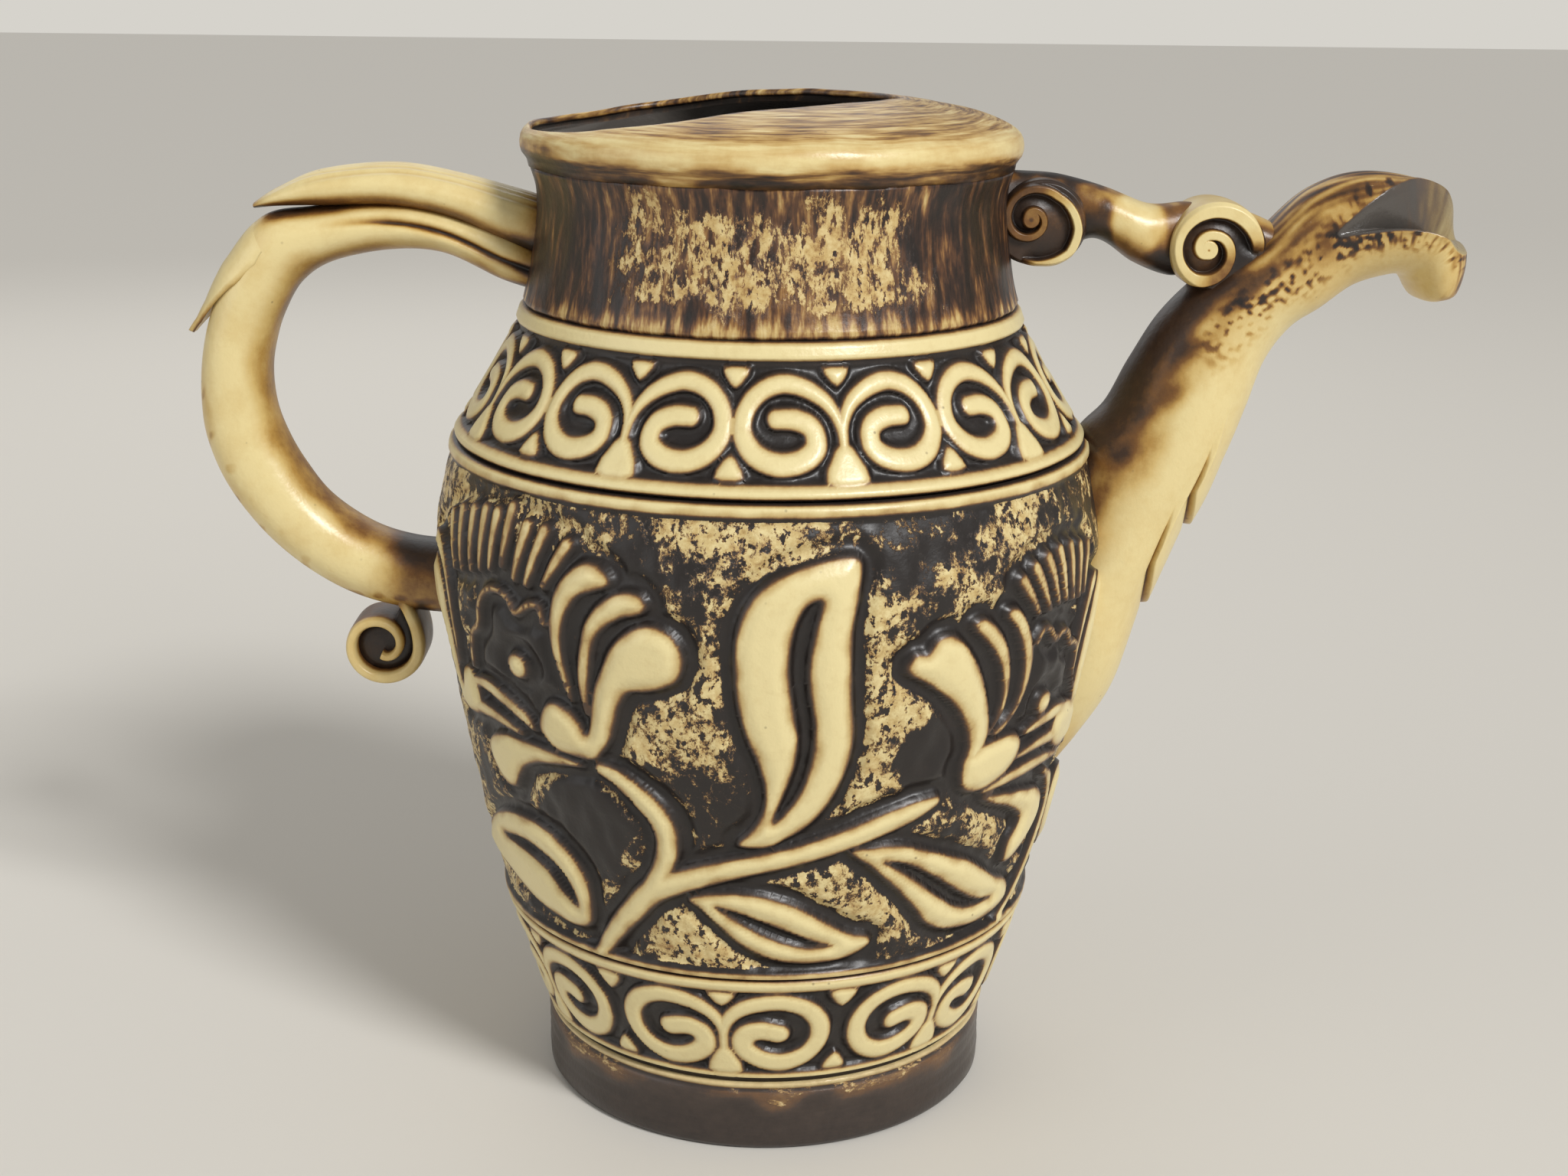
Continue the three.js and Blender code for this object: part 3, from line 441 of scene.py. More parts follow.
def readCarving(places, shapes, reach=7.0):
    # signed distance to the nearest raised shape and the way to its outline, for points on the unrolled wall
    distance = np.full(len(places), -reach)
    way = np.zeros((len(places), 2))
    for shape in shapes:
        body = shape["loop"] if "loop" in shape else shape["line"]
        low, high = body.min(0) - reach, body.max(0) + reach
        near = np.where(((places > low) & (places < high)).all(1))[0]
        if not len(near):
            continue
        if "loop" in shape:
            found, lead = outlineDistance(places[near], body)
        else:
            found, lead = strokeDistance(places[near], body, shape["halfWidths"])
        if shape.get("cut"):
            closer = -found < distance[near]
            distance[near[closer]] = -found[closer]
        else:
            closer = found > distance[near]
            distance[near[closer]] = found[closer]
        way[near[closer]] = lead[closer]
    return distance, way


def settleOnContours(flat, shapes, spacing, movable):
    # grid points beside a contour of the carving move onto it, so that a cut edge runs clean
    distance, way = readCarving(flat, shapes)
    level = np.clip(np.round(distance / spacing), -1, 1) * spacing
    span = distance - level
    near = np.where(movable & (np.abs(span) < 0.5 * spacing) & (np.abs(distance) > 1e-6))[0]
    moved = flat[near] + way[near] * (span[near] / distance[near])[:, None]
    found, _ = readCarving(moved, shapes)
    settled = np.abs(found - level[near]) < 0.12 * spacing
    flat[near[settled]] = moved[settled]
    distance[near[settled]] = level[near[settled]]
    return distance


# one turn-round tree for every carved ring: a sector is copied round the axis and welded
turnRoundWeld = 0.02 * mm


def turnRoundTree():
    tree = bpy.data.node_groups.new("turnRound", "GeometryNodeTree")
    sockets = {}
    for name, kind in (("Sector", "Geometry"), ("Copies", "Int"), ("Weld Distance", "Float"), ("Glaze", "Material")):
        sockets[name] = tree.interface.new_socket(name, in_out="INPUT", socket_type="NodeSocket" + kind).identifier
    tree.interface.new_socket("Ring", in_out="OUTPUT", socket_type="NodeSocketGeometry")
    given = addNode(tree, "NodeGroupInput").outputs
    turns = addNode(tree, "GeometryNodeMeshLine", {"Count": given["Copies"], "Offset": (0, 0, 0)})
    number = addNode(tree, "GeometryNodeInputIndex")
    share = addNode(tree, "ShaderNodeMath", {0: 2 * math.pi, 1: given["Copies"]}, operation="DIVIDE")
    angle = addNode(tree, "ShaderNodeMath", {0: number.outputs[0], 1: share.outputs[0]}, operation="MULTIPLY")
    turn = addNode(tree, "ShaderNodeCombineXYZ", {"Z": angle.outputs[0]})
    copies = addNode(tree, "GeometryNodeInstanceOnPoints", {
        "Points": turns.outputs[0], "Instance": given["Sector"], "Rotation": turn.outputs[0],
    })
    real = addNode(tree, "GeometryNodeRealizeInstances", {"Geometry": copies.outputs[0]})
    welded = addNode(tree, "GeometryNodeMergeByDistance", {
        "Geometry": real.outputs[0], "Distance": given["Weld Distance"],
    })
    glazed = addNode(tree, "GeometryNodeSetMaterial", {"Geometry": welded.outputs[0], "Material": given["Glaze"]})
    addNode(tree, "NodeGroupOutput", {"Ring": glazed.outputs[0]})
    return tree, sockets


turnRound, turnSockets = turnRoundTree()


def carvedRing(name, ring, shapes, cut, slot, node):
    # a sector of the wall, cut by the shapes, then copied round the axis by Geometry Nodes
    copies, low, high, spacing = (ring[key] for key in ("copies", "low", "high", "spacingMm"))
    sector = 360 / copies
    ends = ring["start"], ring["start"] + sector
    columns = int(round(math.radians(sector) * ring["unrollRadius"] / spacing)) + 1
    rows = int(round((high - low) / spacing)) + 1
    degrees, heights = np.meshgrid(np.linspace(*ends, columns), np.linspace(low, high, rows))
    perDegree = unrolled(ring)[0]
    flat = np.stack([degrees * perDegree, heights], -1).reshape(-1, 2)
    movable = np.ones((rows, columns), bool)
    movable[[0, -1]] = False
    distance = settleOnContours(flat, shapes, spacing, movable.reshape(-1)).reshape(rows, columns)
    distance[:, -1] = distance[:, 0]
    flat = flat.reshape(rows, columns, 2)
    flat[:, -1] = flat[:, 0] + (sector * perDegree, 0)
    degrees, heights = flat[..., 0] / perDegree, flat[..., 1]

    # noise is read on a smaller circle, so that it meets itself at the ends of the sector
    turn = np.radians(degrees) * copies
    around = ring["unrollRadius"] / copies
    repeating = np.stack([np.cos(turn) * around, np.sin(turn) * around, heights], -1)
    depth, wipedAndShade, scraped = cut(distance, heights, degrees, repeating)
    outer = roundTheAxis(wallRadius(heights) - np.maximum(depth, 0), np.radians(degrees), heights)

    # plain inner wall, from the top down
    innerHeights = np.linspace(high, low, ring["innerRows"])[:, None]
    innerRadius = wallRadius(innerHeights) - wall["thickness"]
    inner = roundTheAxis(innerRadius, np.radians(np.linspace(*ends, columns)), innerHeights)
    plain = np.zeros(inner.shape[:2])
    marks = {
        "wipedAndShade": np.vstack([wipedAndShade, plain]),
        "scraped": np.vstack([scraped, plain]),
        "lined": np.vstack([0 * wipedAndShade, plain + 1]),
    }
    obj = gridObject(name, np.vstack([outer, inner]), marks, closeRows=True, closeColumns=False)
    facingOut = obj.data.polygons[(columns - 1) * (rows // 2)]
    if facingOut.normal.xy.dot(facingOut.center.xy) < 0:
        obj.data.flip_normals()
    glaze = glazes["wipedStonewareGlaze"]
    modifier = obj.modifiers.new("turnRound", "NODES")
    modifier.node_group = turnRound
    modifier[turnSockets["Copies"]] = copies
    modifier[turnSockets["Weld Distance"]] = turnRoundWeld
    modifier[turnSockets["Glaze"]] = glaze
    keepModifierResult(obj)
    finishPiece(obj, glaze, slot, node)


def lineCut(heights, lines, depth=0.9):
    # depth of the fine turned lines at these heights, and how far the wash stays in them
    away = np.min([np.abs(heights - line) for line in lines], axis=0)
    return depth * (1 - step(0.15, 0.8, away)), step(0.1, 0.9, away)


# the two scroll bands: points are (degrees round the jug, height in mm), a scroll meets its mirror image
# at the link, and swell widens its stroke

shoulderBand = {
    "copies": 9, "start": -26.7, "low": 148.7, "high": 176.6, "unrollRadius": 62, "spacingMm": 0.5, "innerRows": 7,
    "ground": (151.4, 172.2), "lines": [172.5], "link": 13.3, "swell": 1.08,
    "line": [
        (1.2, 162.7), (4.8, 162.6), (7.8, 161), (8.2, 157.8), (5.8, 155.6), (1.6, 154.9), (-2.4, 156.5),
        (-4.8, 160), (-4.5, 164), (-2, 167.3), (2, 168.9), (6, 168.4), (9.7, 166.5), (12.1, 163.8), (13.2, 160),
        (13.3, 153.6),
    ],
    "halfWidths": [1.7, 1.8, 1.9, 1.95, 1.95, 1.95, 1.95, 1.85, 1.8, 1.75, 1.7, 1.65, 1.5, 1.25, 0.95, 1.0],
    "wedges": [
        [(-9.4, 171.6), (-3.9, 171.6), (-6.7, 167.9)],
        [(-9.2, 152.4), (-4.2, 152.4), (-6.7, 156.6)],
        [(10.6, 171.6), (16, 171.6), (13.3, 168.2)],
        [(9.4, 151.6), (17.2, 151.6), (13.3, 159)],
    ],
}
lowerBand = {
    "copies": 7, "start": -34.71, "low": 16.3, "high": 44.55, "unrollRadius": 57, "spacingMm": 0.52, "innerRows": 7,
    "ground": (19, 41.4), "lines": [17.05], "link": -9, "swell": 1.15,
    "line": [
        (-21.2, 30.2), (-17, 31), (-13.8, 29.4), (-13.6, 25.8), (-17.6, 22.9), (-23, 22.2), (-27.8, 24.3),
        (-30.3, 28.4), (-30, 33), (-27, 36.8), (-22, 38.7), (-16.5, 38.2), (-12.6, 36.4), (-10, 33.4),
        (-9, 29.3), (-9, 21.4),
    ],
    "halfWidths": [2.2, 2.3, 2.3, 2.3, 2.25, 2.2, 2.1, 2.05, 2.0, 1.95, 1.9, 1.85, 1.65, 1.35, 1.0, 1.1],
    "wedges": [
        [(-37.8, 41), (-31.6, 41), (-34.71, 36.6)],
        [(-37.6, 19.7), (-31.8, 19.7), (-34.71, 24)],
        [(-12, 41), (-6, 41), (-9, 37.4)],
        [(-13.4, 19.2), (-4.6, 19.2), (-9, 27)],
    ],
}
# how deep and how round both bands are cut, in mm, and the points of a scroll's line
bandCarving = {"groundDepth": 1.35, "edgeDrop": 0.5, "edgeRound": 1.5, "endDrop": 0.9, "points": 76}


def scrollShapes(band):
    line, widths = strokeAlong(band, bandCarving["points"])
    sector = 360 / band["copies"]
    shapes = []
    for side in (1, -1):
        for shift in (0, sector, -sector):
            turned = line.copy()
            turned[:, 0] = band["link"] + side * (turned[:, 0] - band["link"]) + shift
            shapes.append({"line": turned * unrolled(band), "halfWidths": widths * band["swell"]})
    for wedge in band["wedges"]:
        for shift in (0, sector, -sector):
            moved = smoothLoop([(angle + shift, height) for angle, height in wedge], 3)
            shapes.append({"loop": moved * unrolled(band)})
    return shapes


def scrollCut(band):
    low, high = band["ground"]
    drop = bandCarving["edgeDrop"]

    def cut(distance, heights, degrees, repeating):
        # rails above and below the carved ground
        distance = np.maximum(distance, np.maximum(low - heights, heights - high))
        ground = bandCarving["groundDepth"] * step(0, 0.8, -distance)
        ground += 0.14 * softNoise(repeating, 2.4, 5) * step(0.4, 1, -distance)
        rounded = drop * (1 - step(0, bandCarving["edgeRound"], distance)) + 0.05 * softNoise(repeating, 5, 6)
        depth = np.where(distance < 0, drop + ground, rounded)
        lineDepth, lineTone = lineCut(heights, band["lines"])
        wipedAndShade = (0.6 * step(-0.5, 0.4, distance) + 0.4 * step(0.1, 1.2, distance)) * (0.12 + 0.88 * lineTone)
        edge = step(0.0, 0.9, np.minimum(heights - band["low"], band["high"] - heights))
        depth = depth + lineDepth + bandCarving["endDrop"] * (1 - edge)
        return depth, wipedAndShade * (0.15 + 0.85 * edge), 0 * wipedAndShade

    return cut


for name, band, slot, node in (
    ("shoulderScrollBand", shoulderBand, "neck_glaze", "neck"),
    ("lowerScrollBand", lowerBand, "carved_clay", "belly"),
):
    carvedRing(name, band, scrollShapes(band), scrollCut(band), slot, node)
print("scroll bands carved")


# the frieze: a forked stem with leaves and two open flowers, carved twice round the belly

# outlines and lines are (degrees round the jug, height in mm) too
friezeLeaves = {
    "tallLeaf": [
        (14, 138), (8, 137.5), (3, 135.5), (-1, 132.5), (-3.5, 128), (-4.8, 122), (-4.8, 114), (-4.2, 107),
        (-2.8, 101), (-1.2, 96), (0, 90), (-0.6, 85), (-2.5, 81), (-4.7, 77.8), (0, 77.5), (3, 79.3), (6, 81.5),
        (9, 85), (11.5, 90), (13.2, 96), (13.8, 102), (13.2, 110), (12.9, 118), (13, 125), (14, 132),
    ],
    "lowLeaf": [
        (-14, 64.2), (-10, 65.8), (-4, 66.2), (1, 65.3), (6, 63), (10, 60), (14, 57), (17, 55.3), (20, 54.2),
        (20.6, 52.4), (18, 50.4), (15, 49.3), (10, 48.8), (5, 49.2), (0, 50.7), (-5, 54), (-9, 58.5), (-12, 62),
    ],
    "highLeaf": [
        (15, 75.5), (20, 76), (25, 75.3), (30, 73), (35, 70.5), (40, 68), (45, 64.5), (50, 60.5), (55, 58), (58, 55),
        (58, 51.4), (52, 49.8), (45, 50), (38, 51.5), (33, 54.5), (30, 58.5), (27, 62.5), (23, 67), (19, 71.5),
    ],
    "hookedLeaf": [
        (41.5, 82.4), (46.9, 81.2), (53, 79.9), (60.5, 77.5), (64, 73.3), (63, 68.2), (58.4, 63.8), (53, 62.6),
        (52.4, 67.5), (54.6, 71), (54.4, 74), (49.2, 77.6), (44, 80),
    ],
    "farLowLeaf": [
        (-36.5, 52.8), (-35.3, 58), (-35.6, 64), (-38.5, 69), (-43, 72.5), (-50, 73.8), (-58, 72), (-67, 67),
        (-75, 60), (-70, 56.5), (-62, 55), (-54, 52.5), (-46, 51), (-40, 50.8),
    ],
    "bentSepal": [
        (-32, 91.4), (-38, 92.6), (-45, 93), (-52, 92.4), (-56.5, 90), (-58, 86), (-55, 81), (-51, 80.6), (-49, 83.5),
        (-46.5, 87), (-42, 89.2), (-36.5, 90.4),
    ],
    "farSmallLeaf": [(72, 76), (77, 77), (82, 72.5), (85, 65), (86.5, 57), (81, 55), (75, 60), (72, 67)],
}
friezeSlits = {
    "tallLeafSlit": [
        (8.3, 130), (6, 129.5), (4.5, 126.5), (3.4, 121), (3.3, 115), (4.2, 107), (4.8, 100), (4, 94), (1.2, 83.5),
        (4, 86.5), (6.3, 92), (7.5, 99), (7.6, 105), (6.6, 112), (6.5, 118), (7.3, 124),
    ],
    "lowLeafSlit": [
        (-9, 62.6), (-5, 61.6), (0, 59.3), (5, 56.7), (10, 54), (13, 53), (9, 52.8), (4, 54), (-1, 56.7), (-5, 59.5),
    ],
    "highLeafSlit": [
        (21.5, 72.2), (26, 70.8), (31, 67.5), (36, 63.5), (41, 59.5), (46, 56.3), (51, 54.8), (45, 54.8), (40, 56.5),
        (35, 60.3), (30, 64.8), (26, 68.5),
    ],
    "farLowLeafSlit": [(-39, 56), (-40.4, 62), (-45, 66), (-52, 67.6), (-61, 65.5), (-52, 64.6), (-46, 62.4),
                       (-42.4, 58.5)],
}
friezeStems = {
    "mainStem": {
        "line": [(-36.4, 44), (-31, 52), (-25.8, 58.8), (-20.5, 65), (-12, 69.6), (-4, 72.6), (4, 75), (12, 77.8),
                 (20, 81), (26, 83.2), (30, 84.6)],
        "halfWidths": [1.5, 2.1, 2.5, 2.7, 2.5, 2.2, 2.2, 2.3, 2.5, 2.2, 1.2],
    },
    "branch": {
        "line": [(-21.5, 64), (-18.6, 70.5), (-17.2, 77), (-18.4, 82.5), (-21.8, 87), (-25.6, 90.4), (-28.6, 91.6)],
        "halfWidths": [2.6, 2.2, 2.4, 2.5, 2.2, 1.8, 1.1],
    },
    "farStem": {
        "line": [(58, 46), (64, 54), (68, 62), (69, 70), (66.5, 77), (62, 81)],
        "halfWidths": [1.4, 1.6, 1.7, 1.6, 1.4, 0.8],
    },
}
leftFlower = {
    "axis": -50,
    "squeeze": 0.84,
    "petals": [
        [(-30.8, 98.8), (-29.8, 100), (-29, 105), (-28, 110), (-26.5, 114), (-25, 118), (-23, 121), (-20.5, 123.3),
         (-17.5, 124), (-14.8, 122.5), (-13.2, 119.5), (-13, 116.5), (-14, 113.5), (-16, 111.8), (-19, 110.5),
         (-22, 109.8), (-23.8, 107), (-24.8, 103.5), (-26, 99), (-28, 95.5), (-30, 93.4), (-34, 93.3), (-38, 94),
         (-40.5, 97), (-40, 100.5), (-38.3, 103.5), (-36.2, 104.2), (-33.5, 103), (-31.8, 101)],
        [(-30, 103), (-31, 108), (-31, 113), (-30.3, 118), (-29.3, 122.5), (-27.5, 126), (-25, 128.8), (-22, 130.2),
         (-19.8, 129.8), (-18.8, 127.8), (-20, 126.2), (-23, 125), (-25.8, 122.8), (-27.8, 119.5), (-28.8, 114),
         (-29.5, 108)],
        [(-33, 105.5), (-34.5, 110), (-36, 117), (-36, 123), (-35, 128), (-33, 131.8), (-30.5, 134.3), (-28, 134.8),
         (-26, 133.6), (-25, 131.5), (-27, 130), (-30, 128.5), (-32, 126), (-33.6, 122), (-34, 116), (-33.2, 110)],
    ],
    "fan": [
        ((-37.5, 128.5), (-33.4, 137.4)), ((-41.2, 128), (-38.3, 139.2)), ((-44, 128.5), (-42.3, 139.4)),
        ((-47.3, 130.5), (-46.5, 142)), ((-50.5, 129), (-50.3, 140)), ((-53.5, 128), (-53.9, 140)),
        ((-56.5, 127), (-57.7, 139)), ((-60, 126), (-61.9, 138)), ((-63.4, 125.4), (-65.8, 136)),
    ],
    "fanWidths": (0.55, 1.35),
    "arch": [(-37.6, 121), (-38.6, 124), (-41, 123.7), (-44, 121.4), (-46, 124), (-49.2, 124.9), (-52.3, 123.5),
             (-54.2, 120), (-55, 115.8), (-57.6, 113), (-58.6, 109), (-59, 105.5)],
    "ball": (-44.6, 110, 2.5),
    "sepals": [
        [(-64, 100.6), (-56, 102.4), (-50, 101.2), (-45, 98.8), (-42.4, 96.8)],
        [(-70, 93.5), (-62, 95.5), (-54, 96.2), (-46, 94.6)],
    ],
}
rightFlower = {
    "axis": 55,
    "squeeze": 0.9,
    "petals": [
        [(22.5, 116.4), (23.5, 117.9), (25, 117.7), (26, 118.4), (27, 120.2), (28.7, 121), (30.7, 120.3),
         (33.8, 116.2), (36.2, 111.4), (38, 106), (39.2, 101), (39.4, 97), (38.2, 93.2), (36.6, 91.4), (35.4, 92.6),
         (35.5, 96), (34.6, 100), (32.6, 104), (29.9, 107.6), (27, 110.6), (24.8, 112.4), (23, 113.7), (22.2, 115.1)],
        [(35, 93), (40, 95), (44, 95.5), (47.5, 94.8), (49, 92), (48, 88.5), (45, 86), (41, 84.6), (37.5, 84.8),
         (35.3, 87)],
        [(37.5, 95.4), (41, 100), (41.8, 105), (41, 110), (39, 115), (36.5, 118.5), (34.5, 121), (34, 122.5),
         (36, 123), (38.5, 120.8), (41, 117), (42.5, 112), (43, 106), (42, 101), (39, 96.4)],
        [(40.6, 97), (44, 99.6), (46, 103.5), (46.5, 109), (45.5, 114), (43.5, 119), (41, 122.5), (41.5, 123.8),
         (44, 122.8), (46.5, 118.5), (48.3, 112.5), (48, 106.5), (46, 101), (42.6, 97)],
    ],
    "fan": [
        ((49, 121), (44.4, 129)), ((52.2, 121), (47.7, 130.8)), ((55, 121.5), (51.3, 132)),
        ((57.8, 121.5), (55, 132.6)), ((60.4, 121), (59, 132.4)), ((63, 120.6), (63, 131.4)),
        ((65.4, 120.8), (66.8, 130.4)),
    ],
    "fanWidths": (0.5, 1.25),
    "arch": [(49.2, 114.6), (51, 117), (53.4, 116), (55.4, 113.4), (57.2, 114.4), (59.8, 113.6), (61.4, 110.6),
             (63, 110.4), (65.4, 108.6), (66.6, 105)],
    "ball": (54.5, 99.5, 2.4),
    "sepals": [
        [(48.8, 89.2), (55, 90), (62, 89.4), (68, 87.4), (73, 84)],
        [(41, 83.8), (49, 85), (57, 85.2), (66, 83.8)],
        [(50, 94.4), (57, 95.4), (64, 95), (71, 92.6)],
    ],
}
frieze = {
    "copies": 2, "start": -90, "low": 44.6, "high": 148.1, "unrollRadius": 68, "spacingMm": 0.7,
    "innerRows": 9, "ground": (46.4, 145.5), "lines": [44.6, 148.3],
    # the ground is deepest in a halo round each shape
    "haloDepth": 2.55, "groundDepth": 1.3, "haloWidth": (2.2, 4.8), "edgeDrop": 0.85, "edgeRound": 3.2,
    # ground that stays dark, in the flowers and under the stems: degrees, height and radius in mm
    "darkGround": [(-47, 112, 15), (58, 107, 14), (29.5, 95, 11), (-34, 78, 12)],
    # heights between which the scraping comes closer to the shapes, and by how much
    "closer": (126, 142), "closerMm": 2.4,
}


def flowerShapes(flower):
    def far(points):
        return [(flower["axis"] - (angle - flower["axis"]) * flower["squeeze"], height) for angle, height in points]

    scale = unrolled(frieze)
    # the petal next to the fan has no far twin, as the fan reaches down there
    petals = flower["petals"] + [far(petal) for petal in flower["petals"][:-1]]
    shapes = [{"loop": smoothLoop(petal) * scale} for petal in petals]
    thin, thick = flower["fanWidths"]
    for foot, top in flower["fan"]:
        line = np.array([foot, ((foot[0] + top[0]) / 2, (foot[1] + top[1]) / 2 + 0.3), top]) * scale
        shapes.append({"line": line, "halfWidths": np.array([thin, (thin + thick) / 1.8, thick])})
    arch = splineThrough(flower["arch"], np.linspace(0, 1, 50)) * scale
    shapes.append({"line": arch, "halfWidths": np.full(50, 0.6)})
    x, z, size = flower["ball"]
    shapes.append({"line": np.array([(x, z), (x + 0.3, z)]) * scale, "halfWidths": np.array([size, size])})
    for sepal in flower["sepals"]:
        line = splineThrough(sepal, np.linspace(0, 1, 24)) * scale
        shapes.append({"line": line, "halfWidths": 0.35 + 1.15 * np.sin(np.linspace(0.12, math.pi - 0.12, 24))})
    return shapes


def friezeShapes():
    scale = unrolled(frieze)
    shapes = [{"loop": smoothLoop(leaf) * scale} for leaf in friezeLeaves.values()]
    for stem in friezeStems.values():
        line, widths = strokeAlong(stem, 60)
        shapes.append({"line": line * scale, "halfWidths": widths})
    for flower in (leftFlower, rightFlower):
        shapes += flowerShapes(flower)
    return shapes + [{"loop": smoothLoop(slit) * scale, "cut": True} for slit in friezeSlits.values()]


def friezeCut(distance, heights, degrees, repeating):
    low, high = frieze["ground"]
    halo, ground, drop = (frieze[key] for key in ("haloDepth", "groundDepth", "edgeDrop"))
    rail = np.maximum(low - heights, heights - high)
    away = np.maximum(-distance, 0)
    gouges = softNoise(repeating * (1, 1, 0.75), 2.6, 11) * 0.28 + softNoise(repeating, 6, 12) * 0.16
    floor = (halo - drop) * step(0, 1.15, away) - (halo - ground) * step(*frieze["haloWidth"], away)
    floor += gouges * step(0.8, 3, away)
    rounded = drop * (1 - step(0, frieze["edgeRound"], distance)) + 0.06 * softNoise(repeating, 7, 13)
    depth = np.where(distance < 0, drop + np.maximum(floor, 0), rounded)
    depth *= step(-0.1, 0.8, -rail)
    railRound = 0.3 * (1 - step(0, 0.9, rail)) * (rail > -0.2)
    lineDepth, lineTone = lineCut(heights, frieze["lines"])

    raised = np.maximum(distance, rail)
    wipedAndShade = (0.58 * step(-0.5, 0.45, raised) + 0.42 * step(0.1, 1.9, raised + 0.5 * softNoise(repeating, 3, 15)))
    wipedAndShade *= 0.1 + 0.9 * lineTone
    # the ground was scraped pale away from the shapes, and close to them under the upper rail
    topPull = frieze["closerMm"] * step(*frieze["closer"], heights)
    scraped = step(1.0, 3.2, away + topPull) * step(0.1, 0.7, -rail)
    for azimuth, height, reach in frieze["darkGround"]:
        across = ((degrees - azimuth + 90) % 180 - 90) * math.radians(frieze["unrollRadius"])
        scraped *= 0.5 + 0.5 * step(reach - 5, reach, np.hypot(across, heights - height))
    worn = 0.82 + 0.18 * step(-0.6, 0.4, softNoise(repeating, 14, 14))
    return depth + railRound + lineDepth, wipedAndShade, scraped * worn


carvedRing("carvedFrieze", frieze, friezeShapes(), friezeCut, "carved_clay", "belly")
print("frieze carved")


# turned pieces: foot and neck

def turnedGrid(profile, columns):
    profile = np.asarray(profile, float)
    return roundTheAxis(profile[:, :1], fullTurn(columns), profile[:, 1:])


def finerProfile(points, spacing):
    # straight runs cut into even short steps
    rows = [points[0]]
    for a, b in zip(points[:-1], points[1:]):
        count = max(1, int(math.dist(a, b) / spacing))
        rows += [tuple(a[k] + (b[k] - a[k]) * i / count for k in range(2)) for i in range(1, count + 1)]
    return rows


foot = {
    "outline": [
        (0.4, 0.25), (44, 0.2), (47.6, 0), (49, 0), (49.9, 0.5), (50.4, 1.4), (50.5, 3), (50.2, 8), (50.35, 12.6),
        (50.1, 13.6), (49.7, 14.2), (50.0, 14.8), (50.4, 15.3), (50.2, 15.9), (49.2, 16), (44.2, 16), (43.9, 10.5),
        (42.6, 8.6), (40, 8), (0.4, 8),
    ],
    "spacingMm": 0.9, "columns": 260, "throwingMm": 0.10, "lumpMm": 0.12,
    # beyond which radius lies the outside, between which heights it is worn, and from where the bead is cream
    "outside": 49, "worn": (8, 13.4, 13.9), "bead": 14.5,
    # within this radius and above this height lies the liner
    "liner": (44.5, 7),
}
grid = turnedGrid(finerProfile(foot["outline"], foot["spacingMm"]), foot["columns"])
height = grid[..., 2]
radius = np.hypot(grid[..., 0], grid[..., 1])
outside = radius > foot["outside"]
throwing = foot["throwingMm"] * np.sin(height * 2.1 + 0.6 * np.sin(np.arctan2(grid[..., 1], grid[..., 0])))
throwing += foot["lumpMm"] * softNoise(grid, 9, 21)
thrown = radius - foot["lumpMm"] + throwing * step(0.6, 2, height)
grid[..., :2] *= np.where(outside, thrown / radius, 1)[..., None]
wornFrom, wornTo, wornTop = foot["worn"]
worn = step(wornFrom, wornTo, height + 2.4 * softNoise(grid * (1, 1, 1.6), 7, 22)) * outside
worn *= 0.45 + 0.55 * step(-0.5, 0.4, softNoise(grid, 20, 23))
makePiece("footRing", grid, {
    "wipedAndShade": np.where(outside & (height > foot["bead"]), 0.95, 0.12 + 0.42 * worn * (height < wornTop)),
    "scraped": 0.98 * worn,
    "lined": (radius < foot["liner"][0]) & (height > foot["liner"][1]),
}, "darkFootGlaze", "foot_glaze", "foot")

neckWall = {
    "low": 176.6, "high": 205.3, "spacingMm": 0.8, "innerRows": 9, "columns": 400, "lineDepth": 0.8, "lumpMm": 0.25,
    # heights between which the scraped fields begin and end, and where the pale foot of the neck fades
    "fieldBegins": (177.5, 186), "fieldEnds": (195, 208), "paleFoot": (177.2, 181.5),
}
low, high = neckWall["low"], neckWall["high"]
heights = np.linspace(low, high, int((high - low) / neckWall["spacingMm"]))
outerRows = np.stack([wallRadius(heights) - lineCut(heights, [low], neckWall["lineDepth"])[0], heights], -1)
innerHeights = np.linspace(high, low, neckWall["innerRows"])
innerRows = np.stack([wallRadius(innerHeights) - wall["neckThickness"], innerHeights], -1)
grid = turnedGrid(np.vstack([outerRows, innerRows]), neckWall["columns"])
isOuter = (np.arange(len(grid)) < len(outerRows))[:, None] * np.ones(neckWall["columns"])
lumps = 0.22 * softNoise(grid * (1, 1, 0.5), 7, 31) + 0.1 * softNoise(grid * (1, 1, 0.3), 2.6, 32)
radius = np.hypot(grid[..., 0], grid[..., 1])
grid[..., :2] *= ((radius + (lumps - neckWall["lumpMm"]) * isOuter) / radius)[..., None]
height = grid[..., 2]
# most of the wash was scraped off two broad fields, one at each side of the jug
azimuth = np.arctan2(grid[..., 0], -grid[..., 1])
field = step(0.35, 0.95, np.cos(azimuth + 0.02) ** 2 + 0.1 * softNoise(grid, 9, 35))
band = step(*neckWall["fieldBegins"], height + 2 * softNoise(grid, 5, 36))
band *= 1 - step(*neckWall["fieldEnds"], height + 3 * softNoise(grid, 6, 33))
paleFoot = 1 - step(*neckWall["paleFoot"], height + 1.5 * softNoise(grid * (1, 1, 0.3), 3, 34))
makePiece("neckWall", grid, {
    "wipedAndShade": isOuter * (0.17 + 0.14 * field + 0.36 * paleFoot * step(176.9, 177.6, height)),
    "scraped": isOuter * step(177, 178.2, height) * (0.56 + 0.14 * paleFoot + 0.5 * field * band),
    "lined": 1 - isOuter,
}, "streakedNeckGlaze", "neck_glaze", "neck", closeRows=True)


# mouth hood: a dome with a rolled rim, open from the rim over the handle to past the middle

